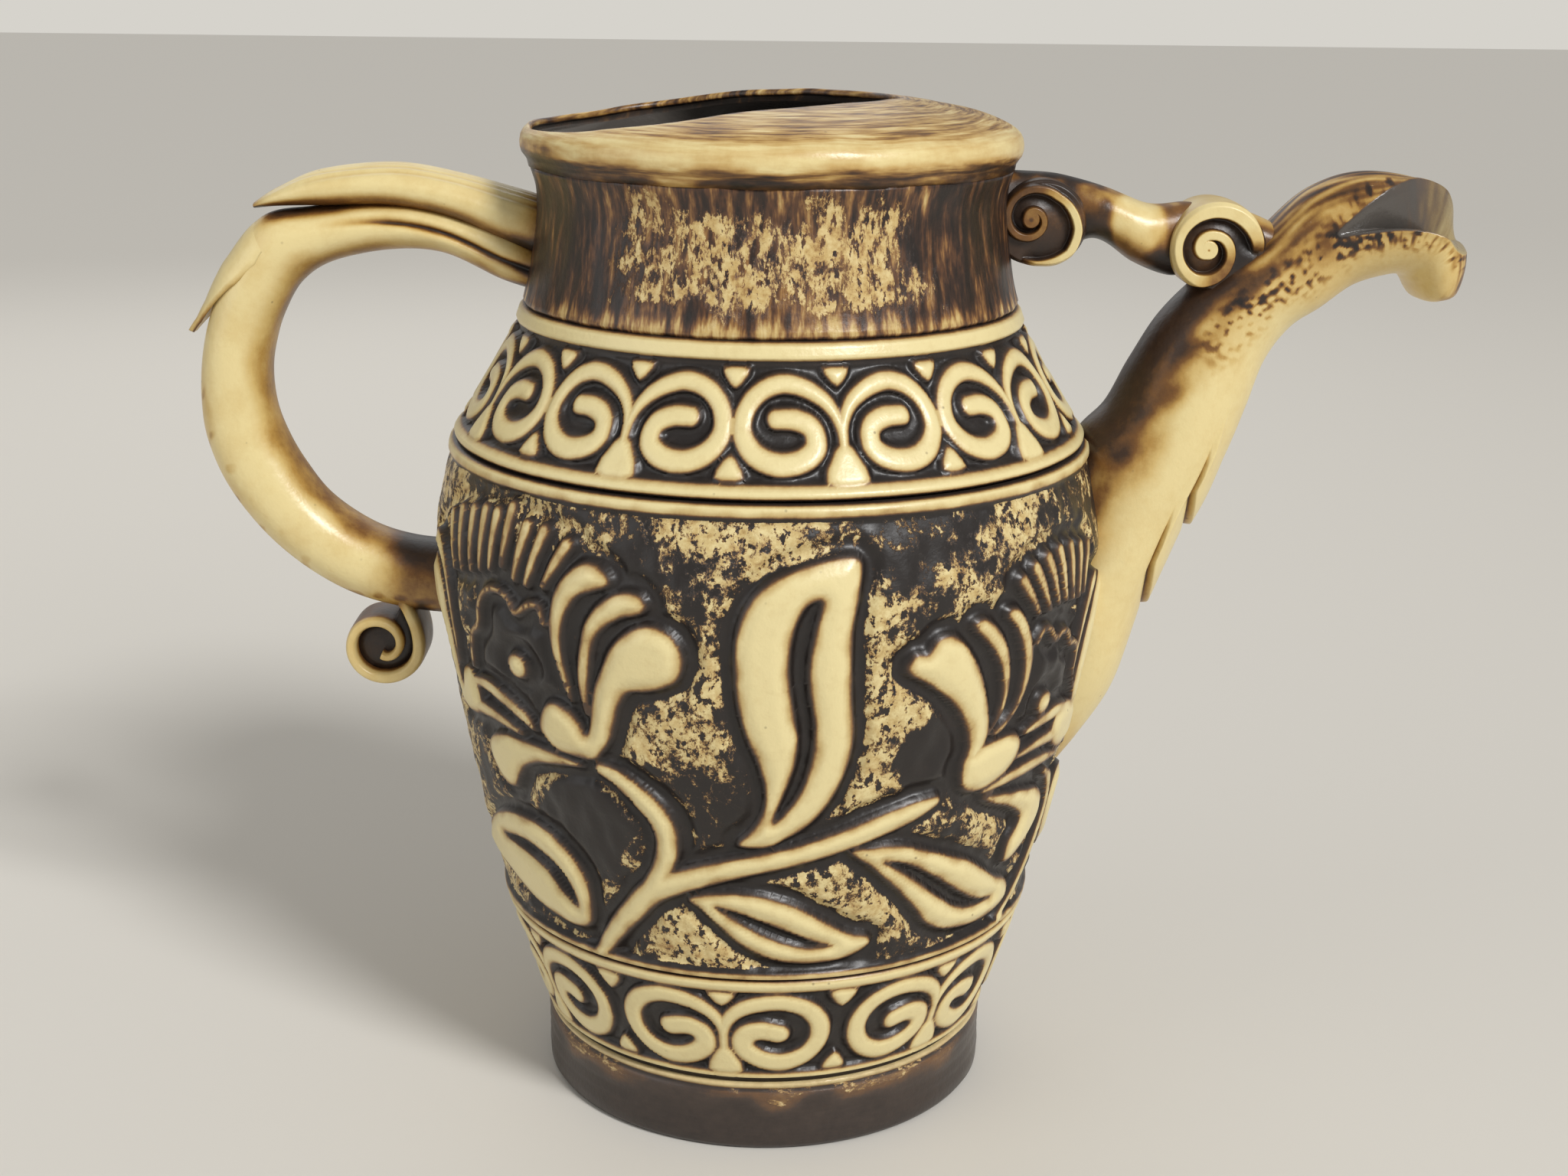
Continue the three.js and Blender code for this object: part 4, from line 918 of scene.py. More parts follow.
hood = {
    "rimRadius": 52.9, "rimHeight": 211, "rise": 10.0, "innerRadius": 46.3, "foot": 205.3,
    # half of the opening's edge: degrees round the jug from the handle to the spout, and the radius in mm
    "opening": [
        (-90, 50.5), (-72, 50.4), (-59, 50.1), (-48, 49.2), (-41.6, 48), (-34.7, 46), (-28.3, 43.6), (-22, 40.6),
        (-15, 37), (-7, 33.4), (3, 30.4), (16, 27.6), (33, 25.8), (65, 25.6), (90, 27),
    ],
    "edgeRound": 0.8, "clay": 2.6, "columns": 320,
    # the seat in the neck rises this far, the bend under the dome and the dome's own rows end at these radii
    "seatRise": 3.4, "bendRadius": 49.4, "underRadius": 51.8, "domeRadius": 52.3,
    "seatRows": 6, "underRows": 12, "edgeRows": 9, "domeRows": 34,
    # radii between which the wash of the dome ends, and heights between which the rim darkens, all round
    # and over the handle
    "domeEnds": (48.6, 52), "rimShade": (210.2, 207.4), "handleShade": (214, 209),
    "rim": [(52.75, 211.6), (52.95, 210.4), (52.9, 209.3), (52.6, 208.3), (52.0, 207.5), (51.5, 206.7),
            (51.2, 205.3)],
}


def domeHeight(radius):
    share = np.clip(radius / hood["rimRadius"], 0, 1)
    return hood["rimHeight"] + hood["rise"] * np.sqrt(1 - share ** 2)


def openingRadius(angle):
    half = np.array(hood["opening"])
    degrees = np.append(half[:, 0], 180 - half[-2::-1, 0])
    radii = np.append(half[:, 1], half[-2::-1, 1])
    edge = np.interp((np.degrees(angle) + 90) % 360 - 90, degrees, radii)
    for _ in range(12):
        edge = (np.roll(edge, 1) + 2 * edge + np.roll(edge, -1)) / 4
    return edge + 0.2 * np.sin(5 * angle + 1) + 0.14 * np.sin(9 * angle)


def hoodGrid():
    angle = fullTurn(hood["columns"])
    opening = openingRadius(angle)
    inner, seat, edgeRound = hood["innerRadius"], hood["seatRise"], hood["edgeRound"]
    bend = np.clip(np.minimum(opening + 0.2, hood["bendRadius"]), inner, None)
    rows = []
    for share in np.linspace(0, 1, hood["seatRows"]):
        rows.append((inner + (bend - inner) * share, hood["foot"] + seat * share + 0 * angle))
    for share in np.linspace(0.08, 1, hood["underRows"]):
        radius = bend + (opening + 0.3 - bend) * share
        under = domeHeight(np.minimum(radius + 1.0, hood["underRadius"])) - hood["clay"]
        rows.append((radius, under * share ** 0.5 + (hood["foot"] + seat) * (1 - share ** 0.5)))
    edgeTop = domeHeight(opening + edgeRound)
    for turn in np.radians(np.linspace(-70, 80, hood["edgeRows"])):
        rows.append((opening + edgeRound * (1 - math.cos(turn)), edgeTop + edgeRound * 1.05 * (math.sin(turn) - 1)))
    start = opening + edgeRound
    for share in np.linspace(0.05, 1, hood["domeRows"]) ** 0.85:
        radius = start + (hood["domeRadius"] - start) * share
        rows.append((radius, domeHeight(radius)))
    rows += [(radius + 0 * angle, height + 0 * angle) for radius, height in hood["rim"]]
    radius, height = (np.array([row[k] for row in rows]) for k in range(2))
    return roundTheAxis(radius, angle, height), radius, height, opening


grid, radius, height, opening = hoodGrid()
# rows are counted from the first one of the opening's rolled edge
rowNumber = np.arange(len(grid))[:, None] * np.ones(hood["columns"]) - hood["seatRows"] - hood["underRows"]
inside = rowNumber < 1
onEdge = (rowNumber >= 0) & (rowNumber < hood["edgeRows"])
angle = np.arctan2(grid[..., 0], -grid[..., 1])
drifts = softNoise(np.stack([np.sin(angle) * 40, np.cos(angle) * 40, radius * 1.5], -1), 7, 42)
dome = step(0.3, 3, radius - opening) * (1 - step(*hood["domeEnds"], radius + 0.8 * drifts))
overHandle = step(0.45, 0.95, -np.sin(angle))
grid[..., 2] += np.where(inside, 0, 0.16 * softNoise(grid, 9, 43) - 0.16)
wipedAndShade = 0.93 - 0.31 * dome - 0.06 * dome * drifts - 0.6 * step(*hood["rimShade"], height)
wipedAndShade -= 0.28 * overHandle * step(*hood["handleShade"], height) + 0.1 * overHandle
makePiece("mouthHood", grid, {
    "wipedAndShade": np.where(rowNumber < 3, 0.05, np.where(onEdge, 0.44 + 0.1 * drifts, wipedAndShade)),
    "lined": np.where(rowNumber < -1, 1.0, np.where(inside, 0.5, 0.0)),
}, "brushedRimGlaze", "rim_glaze", "mouth_hood", closeRows=True)
print("body turned")


# lofted pieces: spout, bridge and handle; a station is [under x, z], [over x, z] and half the width

def squarer(wave, power):
    # a cosine or sine pulled outwards, which squares up a round section
    return np.sign(wave) * np.abs(wave) ** power


def formPoints(stations, share, angle, squareness=1.0):
    table = np.array([
        [(u[0] + o[0]) / 2, (u[1] + o[1]) / 2, (o[0] - u[0]) / 2, (o[1] - u[1]) / 2, w] for u, o, w in stations
    ])
    read = splineThrough(table, share)
    up, side = squarer(np.cos(angle), squareness), squarer(np.sin(angle), squareness)
    return np.stack([read[..., 0] + read[..., 2] * up, read[..., 4] * side, read[..., 1] + read[..., 3] * up], -1)


def outwardNormals(grid):
    along = np.gradient(grid, axis=0)
    around = np.roll(grid, -1, axis=1) - np.roll(grid, 1, axis=1)
    normal = np.cross(around, along)
    normal /= np.maximum(np.linalg.norm(normal, axis=-1), 1e-9)[..., None]
    middle = grid.mean(axis=1, keepdims=True)
    flip = np.sign(((grid - middle) * normal).sum(-1).sum(axis=1, keepdims=True))
    return normal * np.where(flip == 0, 1, flip)[..., None]


def loftGrid(piece):
    share, angle = np.meshgrid(np.linspace(0, 1, piece["rows"]), fullTurn(piece["columns"]), indexing="ij")
    return formPoints(piece["stations"], share, angle, piece["squareness"]), share, angle


def keepOutOfJug(grid):
    # a piece that is luted on ends inside the clay of the wall, not in the hollow
    height = grid[..., 2]
    radius = np.hypot(grid[..., 0], grid[..., 1])
    deep = np.where(height < wall["lutedHeight"], *wall["luted"])
    least = np.where(height < hood["foot"], wallRadius(height) - deep, 0)
    grid[..., :2] *= (np.maximum(radius, least) / np.maximum(radius, 1e-6))[..., None]
    return grid


spout = {
    "stations": [
        ((62, 66), (44, 92), 6), ((70.5, 78.5), (50, 102), 12), ((78, 91), (56, 116), 14.6),
        ((84, 111), (61, 134), 15.2), ((91.7, 127.5), (67, 148), 14.4), ((99, 141.5), (73.3, 155), 13.6),
        ((103.8, 154.5), (78, 164.5), 12.8), ((107.2, 165), (84, 174.5), 12), ((112, 171.8), (92, 183), 11.4),
        ((118, 176), (103.5, 191.8), 11), ((124.5, 181), (114, 201.6), 11.6), ((131.2, 183.2), (128, 205.2), 12.6),
        ((134, 183.4), (145, 200.6), 13), ((135.5, 182.1), (148.1, 189), 12.6),
        ((136.6, 180.4), (146.9, 180.3), 10.8), ((138, 178.8), (143.4, 178.3), 7.8),
        ((139.6, 178.1), (141.4, 177.9), 3.4),
    ],
    "rows": 330, "columns": 168, "contourMm": 0.45,
    # station numbers on the underside where a lapped sheath begins, and how far its edge runs up the sides
    "sheaths": [2.92, 4.02], "sheathLip": 1.25, "creaseDepth": 0.6,
    # the mouth's edge as station number and degrees from the top, where minus is the near side
    "mouthEdge": [
        (10.0, -80), (10.3, -87), (10.8, -90), (11.5, -87), (12.05, -83), (12.5, -76), (12.83, -55), (12.99, -20),
        (13.01, 6), (12.93, 20), (12.69, 24), (12.2, 20), (11.93, 11), (11.7, 0), (11.5, -12), (11.25, -32),
        (10.9, -52), (10.45, -68),
    ],
    "mouthFloor": [(119.5, -9.6, 192.2), (125.5, -7.6, 192.6), (130.5, -5.6, 192.6), (136, -3.4, 191.8),
                   (140.2, -2, 191.2), (144, -1, 190.8), (147, 0, 190.2)],
    "mouthStart": 9.7, "mouthEnd": 13.0, "mouthSteepness": 5.4, "perStation": 12.0, "perDegree": 0.21,
    # station numbers between which the tones come and go
    "rootShade": (1.4, 0.5), "darkTop": (1.2, 3.4), "beak": (8.0, 9.6), "flecks": (5.8, 8), "flecksEnd": (11, 12.5),
    "combed": (9.6, 10.4), "paleLipSheen": (10.8, 12.6), "roll": (9.9, 10.6), "rollEnd": (12, 12.7),
}


def sheathReach(underAngle):
    # how many stations higher the edge of a sheath lies at this angle from the underside
    return np.clip(0.7 * underAngle ** 2 + 5 * np.maximum(underAngle - 0.82, 0), 0, 1.3)


def spoutPlaces():
    # rows lie close together at the sheath edges and along the mouth, and follow the leaf shape of the sheaths
    last = len(spout["stations"]) - 1
    fine = np.linspace(0, last, 4000)
    density = 1 + 1.3 * step(9, 9.8, fine)
    for begin in spout["sheaths"]:
        density = density + 6 * np.exp(-((fine - begin) / 0.055) ** 2)
    total = np.cumsum(density)
    row = np.interp(np.linspace(0, 1, spout["rows"]), (total - total[0]) / (total[-1] - total[0]), fine)
    degrees = np.linspace(-180, 180, spout["columns"], endpoint=False)
    row, degrees = np.meshgrid(row, degrees, indexing="ij")
    underAngle = math.pi - np.abs(np.radians(degrees))
    follow = step(0.3, 2.7, row) * (1 - step(4.3, 8.2, row))
    return row, row + sheathReach(underAngle) * follow, degrees, underAngle


row, station, degrees, underAngle = spoutPlaces()
flat = np.stack([station * spout["perStation"], degrees * spout["perDegree"]], -1).reshape(-1, 2)
rim = smoothLoop(spout["mouthEdge"]) * (spout["perStation"], spout["perDegree"])
movable = np.ones(station.shape, bool)
movable[[0, 1, -2, -1]] = False
mouthDepth = settleOnContours(flat, [{"loop": rim}], spout["contourMm"], movable.reshape(-1)).reshape(station.shape)
station = flat[:, 0].reshape(station.shape) / spout["perStation"]
angle = np.radians(flat[:, 1].reshape(station.shape) / spout["perDegree"])
share = station / (len(spout["stations"]) - 1)
grid = formPoints(spout["stations"], share, angle)
normal = outwardNormals(grid)

grow = np.zeros_like(share)
crease = np.zeros_like(share)
alongEdge = 1 - step(0.75, 1.25, sheathReach(underAngle))
for begin in spout["sheaths"]:
    past = row - begin
    grow += spout["sheathLip"] * alongEdge * step(-0.012, 0.03, past) * (1 - step(0.15, 1.1, past))
    crease = np.maximum(crease, alongEdge * np.exp(-((past + 0.035) / 0.045) ** 2))
rimRoll = np.exp(-((mouthDepth + 0.3) / 0.9) ** 2)
rimRoll *= step(*spout["roll"], station) * (1 - step(*spout["rollEnd"], station))
lumps = 0.12 * softNoise(grid, 8, 51) - 0.08
grid += normal * (grow - spout["creaseDepth"] * crease + 0.4 * rimRoll + lumps)[..., None]

within = np.clip(mouthDepth / spout["mouthSteepness"], 0, 1)
sunk = 0.93 * (1 - (1 - within) ** 2)
floorPlace = (station - spout["mouthStart"]) / (spout["mouthEnd"] - spout["mouthStart"])
grid += (splineThrough(spout["mouthFloor"], floorPlace) - grid) * sunk[..., None]
grid = keepOutOfJug(grid)

# cream below, dark above from the second sheath on, with a torn border: the dark is partly brown wash and partly
# painted shade; the top of the beak is a rubbed brown
drawn = softNoise(np.stack([station * 5, grid[..., 1], angle * 9], -1), 2.6, 52)
darkness = np.cos(angle) + 0.16 * drawn
above = step(-0.2, 0.8, darkness) * step(*spout["darkTop"], station + 0.3 * drawn)
onBeak = step(*spout["beak"], station)
wipedAndShade = 0.97 - above * (0.8 - 0.28 * onBeak) - 0.9 * crease - 0.3 * step(*spout["rootShade"], station)
# a trail of dark flecks runs up the side and along the near lip
flecks = softNoise(np.stack([station * 11, grid[..., 1] * 0.4, np.degrees(angle) * 0.22], -1), 0.9, 54)
clumps = softNoise(np.stack([station * 10, grid[..., 1] * 0.6, np.degrees(angle) * 0.2], -1), 2.6, 55)
trail = np.exp(-((np.cos(angle) + 0.02) / 0.36) ** 2)
trail *= step(*spout["flecks"], station) * (1 - step(*spout["flecksEnd"], station))
wipedAndShade -= 0.7 * trail * step(-0.1, 0.9, 0.9 * flecks + 0.75 * clumps) + 0.16 * trail
combed = softNoise(np.stack([station * 12, 0 * station, angle * 3], -1), 0.75, 53)
nearLip = np.exp(-((mouthDepth + 2.2) / 1.9) ** 2) * step(*spout["combed"], station) * (angle < -0.4)
wipedAndShade -= 0.42 * step(0.0, 0.8, combed) * nearLip
brushed = softNoise(np.stack([station * 2.2, grid[..., 1], np.degrees(angle) * 0.22], -1), 1.3, 56)
wipedAndShade += onBeak * above * (0.24 * brushed - 0.1 * drawn) - 0.17 * onBeak * (1 - above)
# painted sheen: towards the lip the trough is paler and less grey
paleLipSheen = step(*spout["paleLipSheen"], station + 0.25 * combed)
makePiece("pouringSpout", grid, {
    "wipedAndShade": np.where(mouthDepth > -0.02, 0.1 + 0.75 * paleLipSheen, wipedAndShade),
    "scraped": 0.68 * above * onBeak * (mouthDepth < 0),
    "lined": step(-0.3, 0.1, mouthDepth) * (1 - 0.42 * paleLipSheen),
}, "rubbedHandleGlaze", "spout_glaze", "spout_root", "spout_middle_sheath", "spout_top_sheath", "spout_beak")

bridge = {
    "stations": [
        ((47.6, 186), (47.6, 204.6), 5.8), ((60, 187), (60, 204.2), 5.8), ((68.5, 190.5), (71, 201.4), 7.5),
        ((77, 185.6), (80, 198), 7.8), ((85.5, 182.6), (87.5, 198.4), 6), ((91, 184), (92, 198), 5),
    ],
    "rows": 110, "columns": 84, "squareness": 0.86,
}
grid, share, angle = loftGrid(bridge)
grid = keepOutOfJug(grid + outwardNormals(grid) * (0.14 * softNoise(grid, 6, 61) - 0.1)[..., None])
# painted shade: the underside of the bar is darker
wipedAndShade = 0.92 - 0.6 * step(0.15, -0.7, np.cos(angle)) - 0.3 * step(0.8, 1.0, np.cos(angle)) * step(0.55, 0.3, share)
ragged = 0.05 * softNoise(grid, 2.4, 62)
wipedAndShade -= 0.62 * step(0.5, 0.36, share + ragged) + 0.6 * step(0.6, 0.76, share + ragged)
wipedAndShade += 0.2 * softNoise(grid * (1, 1, 0.4), 2.4, 64) * step(0.6, 0.3, share)
makePiece("bridgeBar", grid, {"wipedAndShade": wipedAndShade, "scraped": 0.3}, "rubbedHandleGlaze", "spout_glaze", "bridge_bar")

volutes = {
    "neckVolute": {
        "centre": (57.5, 193.6), "radii": (8.3, 10.4), "begin": -90, "turn": 1, "node": "bridge_volute_neck",
        # the middle of the scroll, how far its rolled side was wiped, and the bearing at which painted light makes
        # that side palest
        "eye": (54.4, 195.1), "sides": 0.4, "litSide": 0,
        # the ridge that winds into the eye: degrees and radius about it, half its width, how far it was wiped
        "ridge": [
            (-110, 8.8, 0.7, 0.2), (-72, 9.9, 0.75, 0.8), (-40, 10.9, 0.8, 1.0), (-12, 10.2, 0.75, 1.0),
            (14, 8.7, 0.7, 0.9), (40, 7.3, 0.65, 0.6), (73, 6.5, 0.6, 0.15), (150, 5.3, 0.6, 0.12),
            (220, 4.4, 0.6, 0.15), (295, 3.4, 0.55, 0.25), (360, 2.7, 0.5, 0.25), (430, 2.0, 0.5, 0.2),
            (520, 1.1, 0.5, 0.2),
        ],
    },
    "spoutVolute": {
        "centre": (93.5, 188.8), "radii": (8.4, 11.5), "begin": -100, "turn": -1, "node": "bridge_volute_spout",
        "eye": (92.0, 189.1), "sides": 0.86, "litSide": 130,
        "ridge": [
            (-15, 10.9, 0.8, 0.1), (14, 10.4, 1.2, 0.7), (43, 9.9, 1.7, 1.0), (70, 9.2, 1.9, 1.0),
            (95, 8.5, 1.9, 1.0), (125, 7.7, 1.6, 1.0), (152, 7.3, 1.5, 1.0), (185, 6.9, 1.3, 1.0),
            (217, 6.9, 1.3, 1.0), (246, 6.9, 1.2, 0.8), (280, 6.3, 1.0, 0.25), (330, 5.2, 0.8, 0.3),
            (385, 4.2, 0.85, 0.8), (427, 3.3, 0.85, 0.95), (525, 2.2, 0.75, 0.95), (620, 1.1, 0.7, 0.9),
        ],
    },
}
voluteCarving = {
    "halfWidth": 8.9, "depth": 2.7, "ridgeSide": 0.75, "bank": 0.45, "rimDrop": 1.2, "bulge": 0.03,
    "rows": 60, "columns": 220, "sideRows": 16,
}


def scrollRelief(volute, x, z):
    # 0 in the bottom of the groove and 1 on the ridge; the second result is how pale the ridge is
    ridge = np.array(volute["ridge"], float)
    begin, side, bank = ridge[0, 0], voluteCarving["ridgeSide"], voluteCarving["bank"]
    right, up = x - volute["eye"][0], z - volute["eye"][1]
    reach = np.hypot(right, up)
    bearing = (np.degrees(np.arctan2(up, right)) - begin) % 360 + begin
    starting = step(0, 28, bearing - begin)
    turns = [[np.interp(bearing + 360 * k, ridge[:, 0], ridge[:, j]) for j in (1, 2, 3)] for k in range(3)]
    relief, pale = 1 - step(0.9, 1.9, reach), 0 * reach
    valley = np.where(reach > turns[0][0], bank, 0.0)
    for k, (radius, half, tone) in enumerate(turns):
        begun = starting if k == 0 else 1
        away = np.abs(reach - radius)
        relief = np.maximum(relief, begun * (1 - step(half, half + side, away)))
        pale = np.maximum(pale, begun * tone * (1 - step(half * 0.9, half + 0.4, away)))
        if k < 2:
            inner, innerHalf, _ = turns[k + 1]
            width = np.maximum(radius - half - inner - innerHalf, 0.4)
            slope = 0.5 * np.clip((radius - half - reach) / width, 0, 1)
            slope = bank * (1 - begun) + begun * slope
            valley = np.where((reach <= radius) & (reach > inner), slope, valley)
    return np.maximum(relief, valley), pale


def voluteGrid(volute):
    centreX, centreZ = volute["centre"]
    around = np.linspace(0, 1, voluteCarving["columns"], endpoint=False)
    angle = np.radians(volute["begin"] + volute["turn"] * 360 * around)
    low, high = volute["radii"]
    closing = step(0.8, 1.0, around)
    outline = (low + (high - low) * around / 0.8).clip(low, high) * (1 - closing) + low * closing
    faceShare = np.linspace(0.02, 1, voluteCarving["rows"])[:, None]
    radius = faceShare * outline
    x = centreX + radius * np.cos(angle)
    z = centreZ + radius * np.sin(angle)
    relief, pale = scrollRelief(volute, x, z)
    crown = voluteCarving["halfWidth"] - voluteCarving["depth"] * (1 - relief)
    crown = crown - voluteCarving["rimDrop"] * step(0.9, 1.0, faceShare) ** 2
    front = np.stack([x, -crown, z], -1)
    back = np.stack([x, crown, z], -1)[::-1]
    edgeY = np.linspace(-1, 1, voluteCarving["sideRows"] + 2)[1:-1, None] * crown[-1]
    bulge = 1 + voluteCarving["bulge"] * (1 - (edgeY / crown[-1]) ** 2)
    side = np.stack([centreX + outline * np.cos(angle) * bulge, edgeY, centreZ + outline * np.sin(angle) * bulge], -1)
    tone = 0.08 + 0.78 * pale + 0.14 * relief
    # painted light: the rolled side is paler towards one bearing and darker away from it
    lit = 0.35 + 0.65 * step(-0.6, 0.3, np.cos(angle - math.radians(volute["litSide"])))
    sideTone = volute["sides"] * lit - 0.12 * np.abs(edgeY / crown[-1]) + 0 * side[..., 0]
    return np.vstack([front, side, back]), np.vstack([tone, sideTone, tone[::-1]])


for name, volute in volutes.items():
    grid, tone = voluteGrid(volute)
    marks = {"wipedAndShade": tone + 0.1 * softNoise(grid, 4, 63)}
    makePiece(name, grid, marks, "rubbedHandleGlaze", "spout_glaze", volute["node"])

voluteTail = {
    "stations": [
        ((94, 187), (95, 198.4), 5.4), ((100.5, 186), (101.4, 196.4), 6.2), ((105, 187), (106.4, 194.3), 6),
        ((109, 188.6), (109.8, 192.2), 4.6),
    ],
    "rows": 50, "columns": 64, "squareness": 1.0,
}
grid, share, angle = loftGrid(voluteTail)
marks = {"wipedAndShade": 0.4 - 0.1 * share + 0.3 * step(0.5, 0.95, np.cos(angle)), "scraped": 0.3}
makePiece("voluteTail", grid, marks, "rubbedHandleGlaze", "spout_glaze", "bridge_volute_spout")
print("spout and bridge made")


# handle

handleLeaf = {
    "stations": [
        ((-47, 184), (-47, 197.4), 9.8), ((-56, 188), (-53.5, 199.4), 10), ((-69, 193.4), (-66, 202.7), 9.8),
        ((-81, 195.6), (-80, 204.8), 9.4), ((-94, 195.6), (-95, 203.3), 8.4), ((-104, 195.4), (-104.6, 199.6), 6.4),
        ((-109.4, 194.9), (-109.7, 196.3), 3),
    ],
    "rows": 150, "columns": 120, "squareness": 0.92, "veinDepth": 0.16,
}
grid, share, angle = loftGrid(handleLeaf)
# shallow veins run the length of the leaf and fade before its point
veins = step(0.1, 0.8, np.cos(angle)) * (1 - step(0.62, 0.9, share))
veins *= np.cos(grid[..., 1] * 2.3 + 0.5 * softNoise(grid, 14, 70))
grid += outwardNormals(grid) * (0.1 * softNoise(grid, 8, 71) - 0.14 + handleLeaf["veinDepth"] * veins)[..., None]
grid = keepOutOfJug(grid)
# painted shade: the leaf's underside is darker; where it meets the neck it darkens with brown wash and painted shade
# together
wipedAndShade = 0.95 - 0.6 * step(-0.05, -0.6, np.cos(angle)) - 0.42 * step(0.87, 1.0, share) - 0.55 * step(0.2, 0.04, share)
wipedAndShade += 0.06 * softNoise(grid, 5, 72) - 0.12 * step(0.2, 0.9, -veins)
makePiece("handleTopLeaf", grid, {"wipedAndShade": wipedAndShade}, "rubbedHandleGlaze", "handle_glaze", "handle_top_leaf")

# the arm and the bar are one rolled coil of clay from the neck round to the belly
handleCoil = {
    "stations": [
        ((-47, 177.4), (-47, 187.4), 9.2), ((-57, 180.4), (-55, 191.4), 9.2), ((-70, 186.2), (-68, 195.6), 9),
        ((-82, 186.4), (-81, 197.2), 9), ((-93.5, 183.9), (-96.8, 195.6), 9.1),
        ((-100.2, 179.6), (-108.4, 193.2), 9.2), ((-104.4, 172.8), (-115.4, 183.8), 9.1),
        ((-106.6, 167), (-119.6, 174.6), 8.9), ((-107.8, 160.5), (-122.3, 164.6), 8.8),
        ((-107.4, 153), (-123.3, 154), 8.8), ((-105.4, 146.4), (-122.2, 144.4), 9),
        ((-101.9, 139.6), (-117.6, 133.4), 9.2), ((-96.4, 132.2), (-108.4, 121.6), 9.4),
        ((-87.6, 126), (-96.4, 112.6), 9.6), ((-78.4, 123), (-82, 107.6), 10), ((-69, 121.8), (-69, 106), 10.4),
    ],
    "rows": 330, "columns": 110, "squareness": 0.92, "ridgeGroove": 1.5,
    # station numbers between which the groove and the tones come and go
    "grooveEnds": (2.7, 4.1), "leafEnds": (4.6, 5.2), "stain": (7.6, 9.2), "freckles": (8, 9.5),
    "neckShade": (1.1, 0.5), "bellyShade": (13.2, 14.2),
}
grid, share, angle = loftGrid(handleCoil)
station = share * (len(handleCoil["stations"]) - 1)
sideways = np.abs(np.cos(angle) - (-0.12 + 0.5 * step(0.9, 3.8, station)))
groove = np.exp(-(sideways / 0.16) ** 2) * (1 - step(*handleCoil["grooveEnds"], station))
groove *= np.abs(np.sin(angle)) > 0.3
grid += outwardNormals(grid) * (0.13 * softNoise(grid, 8, 73) - 0.06 - handleCoil["ridgeGroove"] * groove)[..., None]
grid = keepOutOfJug(grid)
# painted shade: the coil darkens under the leaf, and its inner side darkens round the curve as brown stain and
# painted shade together
shadeUnderLeaf = step(0.55, 0.9, np.cos(angle)) * (1 - step(*handleCoil["leafEnds"], station))
inner = step(-0.25, -1.0, np.cos(angle) + 0.2 * softNoise(grid, 6, 78))
outerStain = step(0.45, 0.95, np.cos(angle) + 0.3 * softNoise(grid, 6, 79)) * step(*handleCoil["stain"], station)
freckles = step(0.35, 0.9, softNoise(grid, 2.2, 76)) * step(0.1, 0.8, np.cos(angle))
freckles *= step(*handleCoil["freckles"], station)
wipedAndShade = 0.96 - 0.85 * groove - 0.75 * shadeUnderLeaf - 0.5 * inner - 0.3 * freckles - 0.22 * outerStain
# both ends are darker where they meet the jug
wipedAndShade -= 0.5 * step(*handleCoil["neckShade"], station) + 0.5 * step(*handleCoil["bellyShade"], station)
marks = {"wipedAndShade": wipedAndShade + 0.06 * softNoise(grid, 5, 74), "scraped": 0.3 * outerStain}
makePiece("handleCoil", grid, marks, "rubbedHandleGlaze", "handle_glaze", "handle_arm", "handle_bar")

# a second leaf wraps the outer side of the coil and lifts off it at its pointed tip
secondLeaf = {
    # station number on the coil, degrees it spreads to each side, and how far its outer face stands off the coil
    "spread": [(4.3, 50, -0.8), (5.0, 76, -0.25), (5.5, 80, 0.4), (6.1, 66, 1.2), (6.6, 49, 1.5), (7.0, 32, 1.8),
               (7.4, 17, 2.6), (7.72, 5, 3.9)],
    "edge": 1.0, "rows": 90, "columns": 64,
}


def secondLeafGrid():
    known = np.array(secondLeaf["spread"])
    station = np.linspace(known[0, 0], known[-1, 0], secondLeaf["rows"])
    spread = np.radians(np.interp(station, known[:, 0], known[:, 1]))[:, None]
    lift = np.interp(station, known[:, 0], known[:, 2])[:, None]
    across = np.linspace(-1, 1, secondLeaf["columns"] // 2)[None]
    # the outer face, then back along the inner face that lies in the coil
    angle = np.hstack([across * spread, -across * spread * 0.97])
    share = np.repeat(station[:, None], secondLeaf["columns"], 1) / (len(handleCoil["stations"]) - 1)
    grid = formPoints(handleCoil["stations"], share, angle, handleCoil["squareness"])
    middles = np.array([[(u[0] + o[0]) / 2, 0, (u[1] + o[1]) / 2] for u, o, _ in handleCoil["stations"]])
    middle = splineThrough(middles, share)
    outward = (grid - middle) / np.linalg.norm(grid - middle, axis=-1)[..., None]
    rounded = np.sqrt(np.clip(1 - np.abs(across) ** 5, 0, 1))
    under = lift - secondLeaf["edge"] * step(0, 0.9, lift)
    outer = lift * (0.35 + 0.65 * rounded) * step(1.0, 0.94, np.abs(across)) + under * step(0.94, 1.0, np.abs(across))
    inner = np.minimum(under, 3.0) - 0.35 + 0 * across
    fromMiddle = np.hstack([np.abs(across), np.abs(across)]) + 0 * share
    return grid + outward * np.hstack([outer, inner])[..., None], share, fromMiddle


grid, share, fromMiddle = secondLeafGrid()
tipShare = (share - share.min()) / (share.max() - share.min())
wipedAndShade = 0.97 - 0.4 * step(0.86, 1.0, fromMiddle) * step(0.3, 0.6, tipShare) - 0.25 * step(0.75, 1.0, tipShare)
marks = {"wipedAndShade": wipedAndShade + 0.05 * softNoise(grid, 5, 80)}
makePiece("handleSecondLeaf", grid, marks, "rubbedHandleGlaze", "handle_glaze", "handle_leaf_tip")

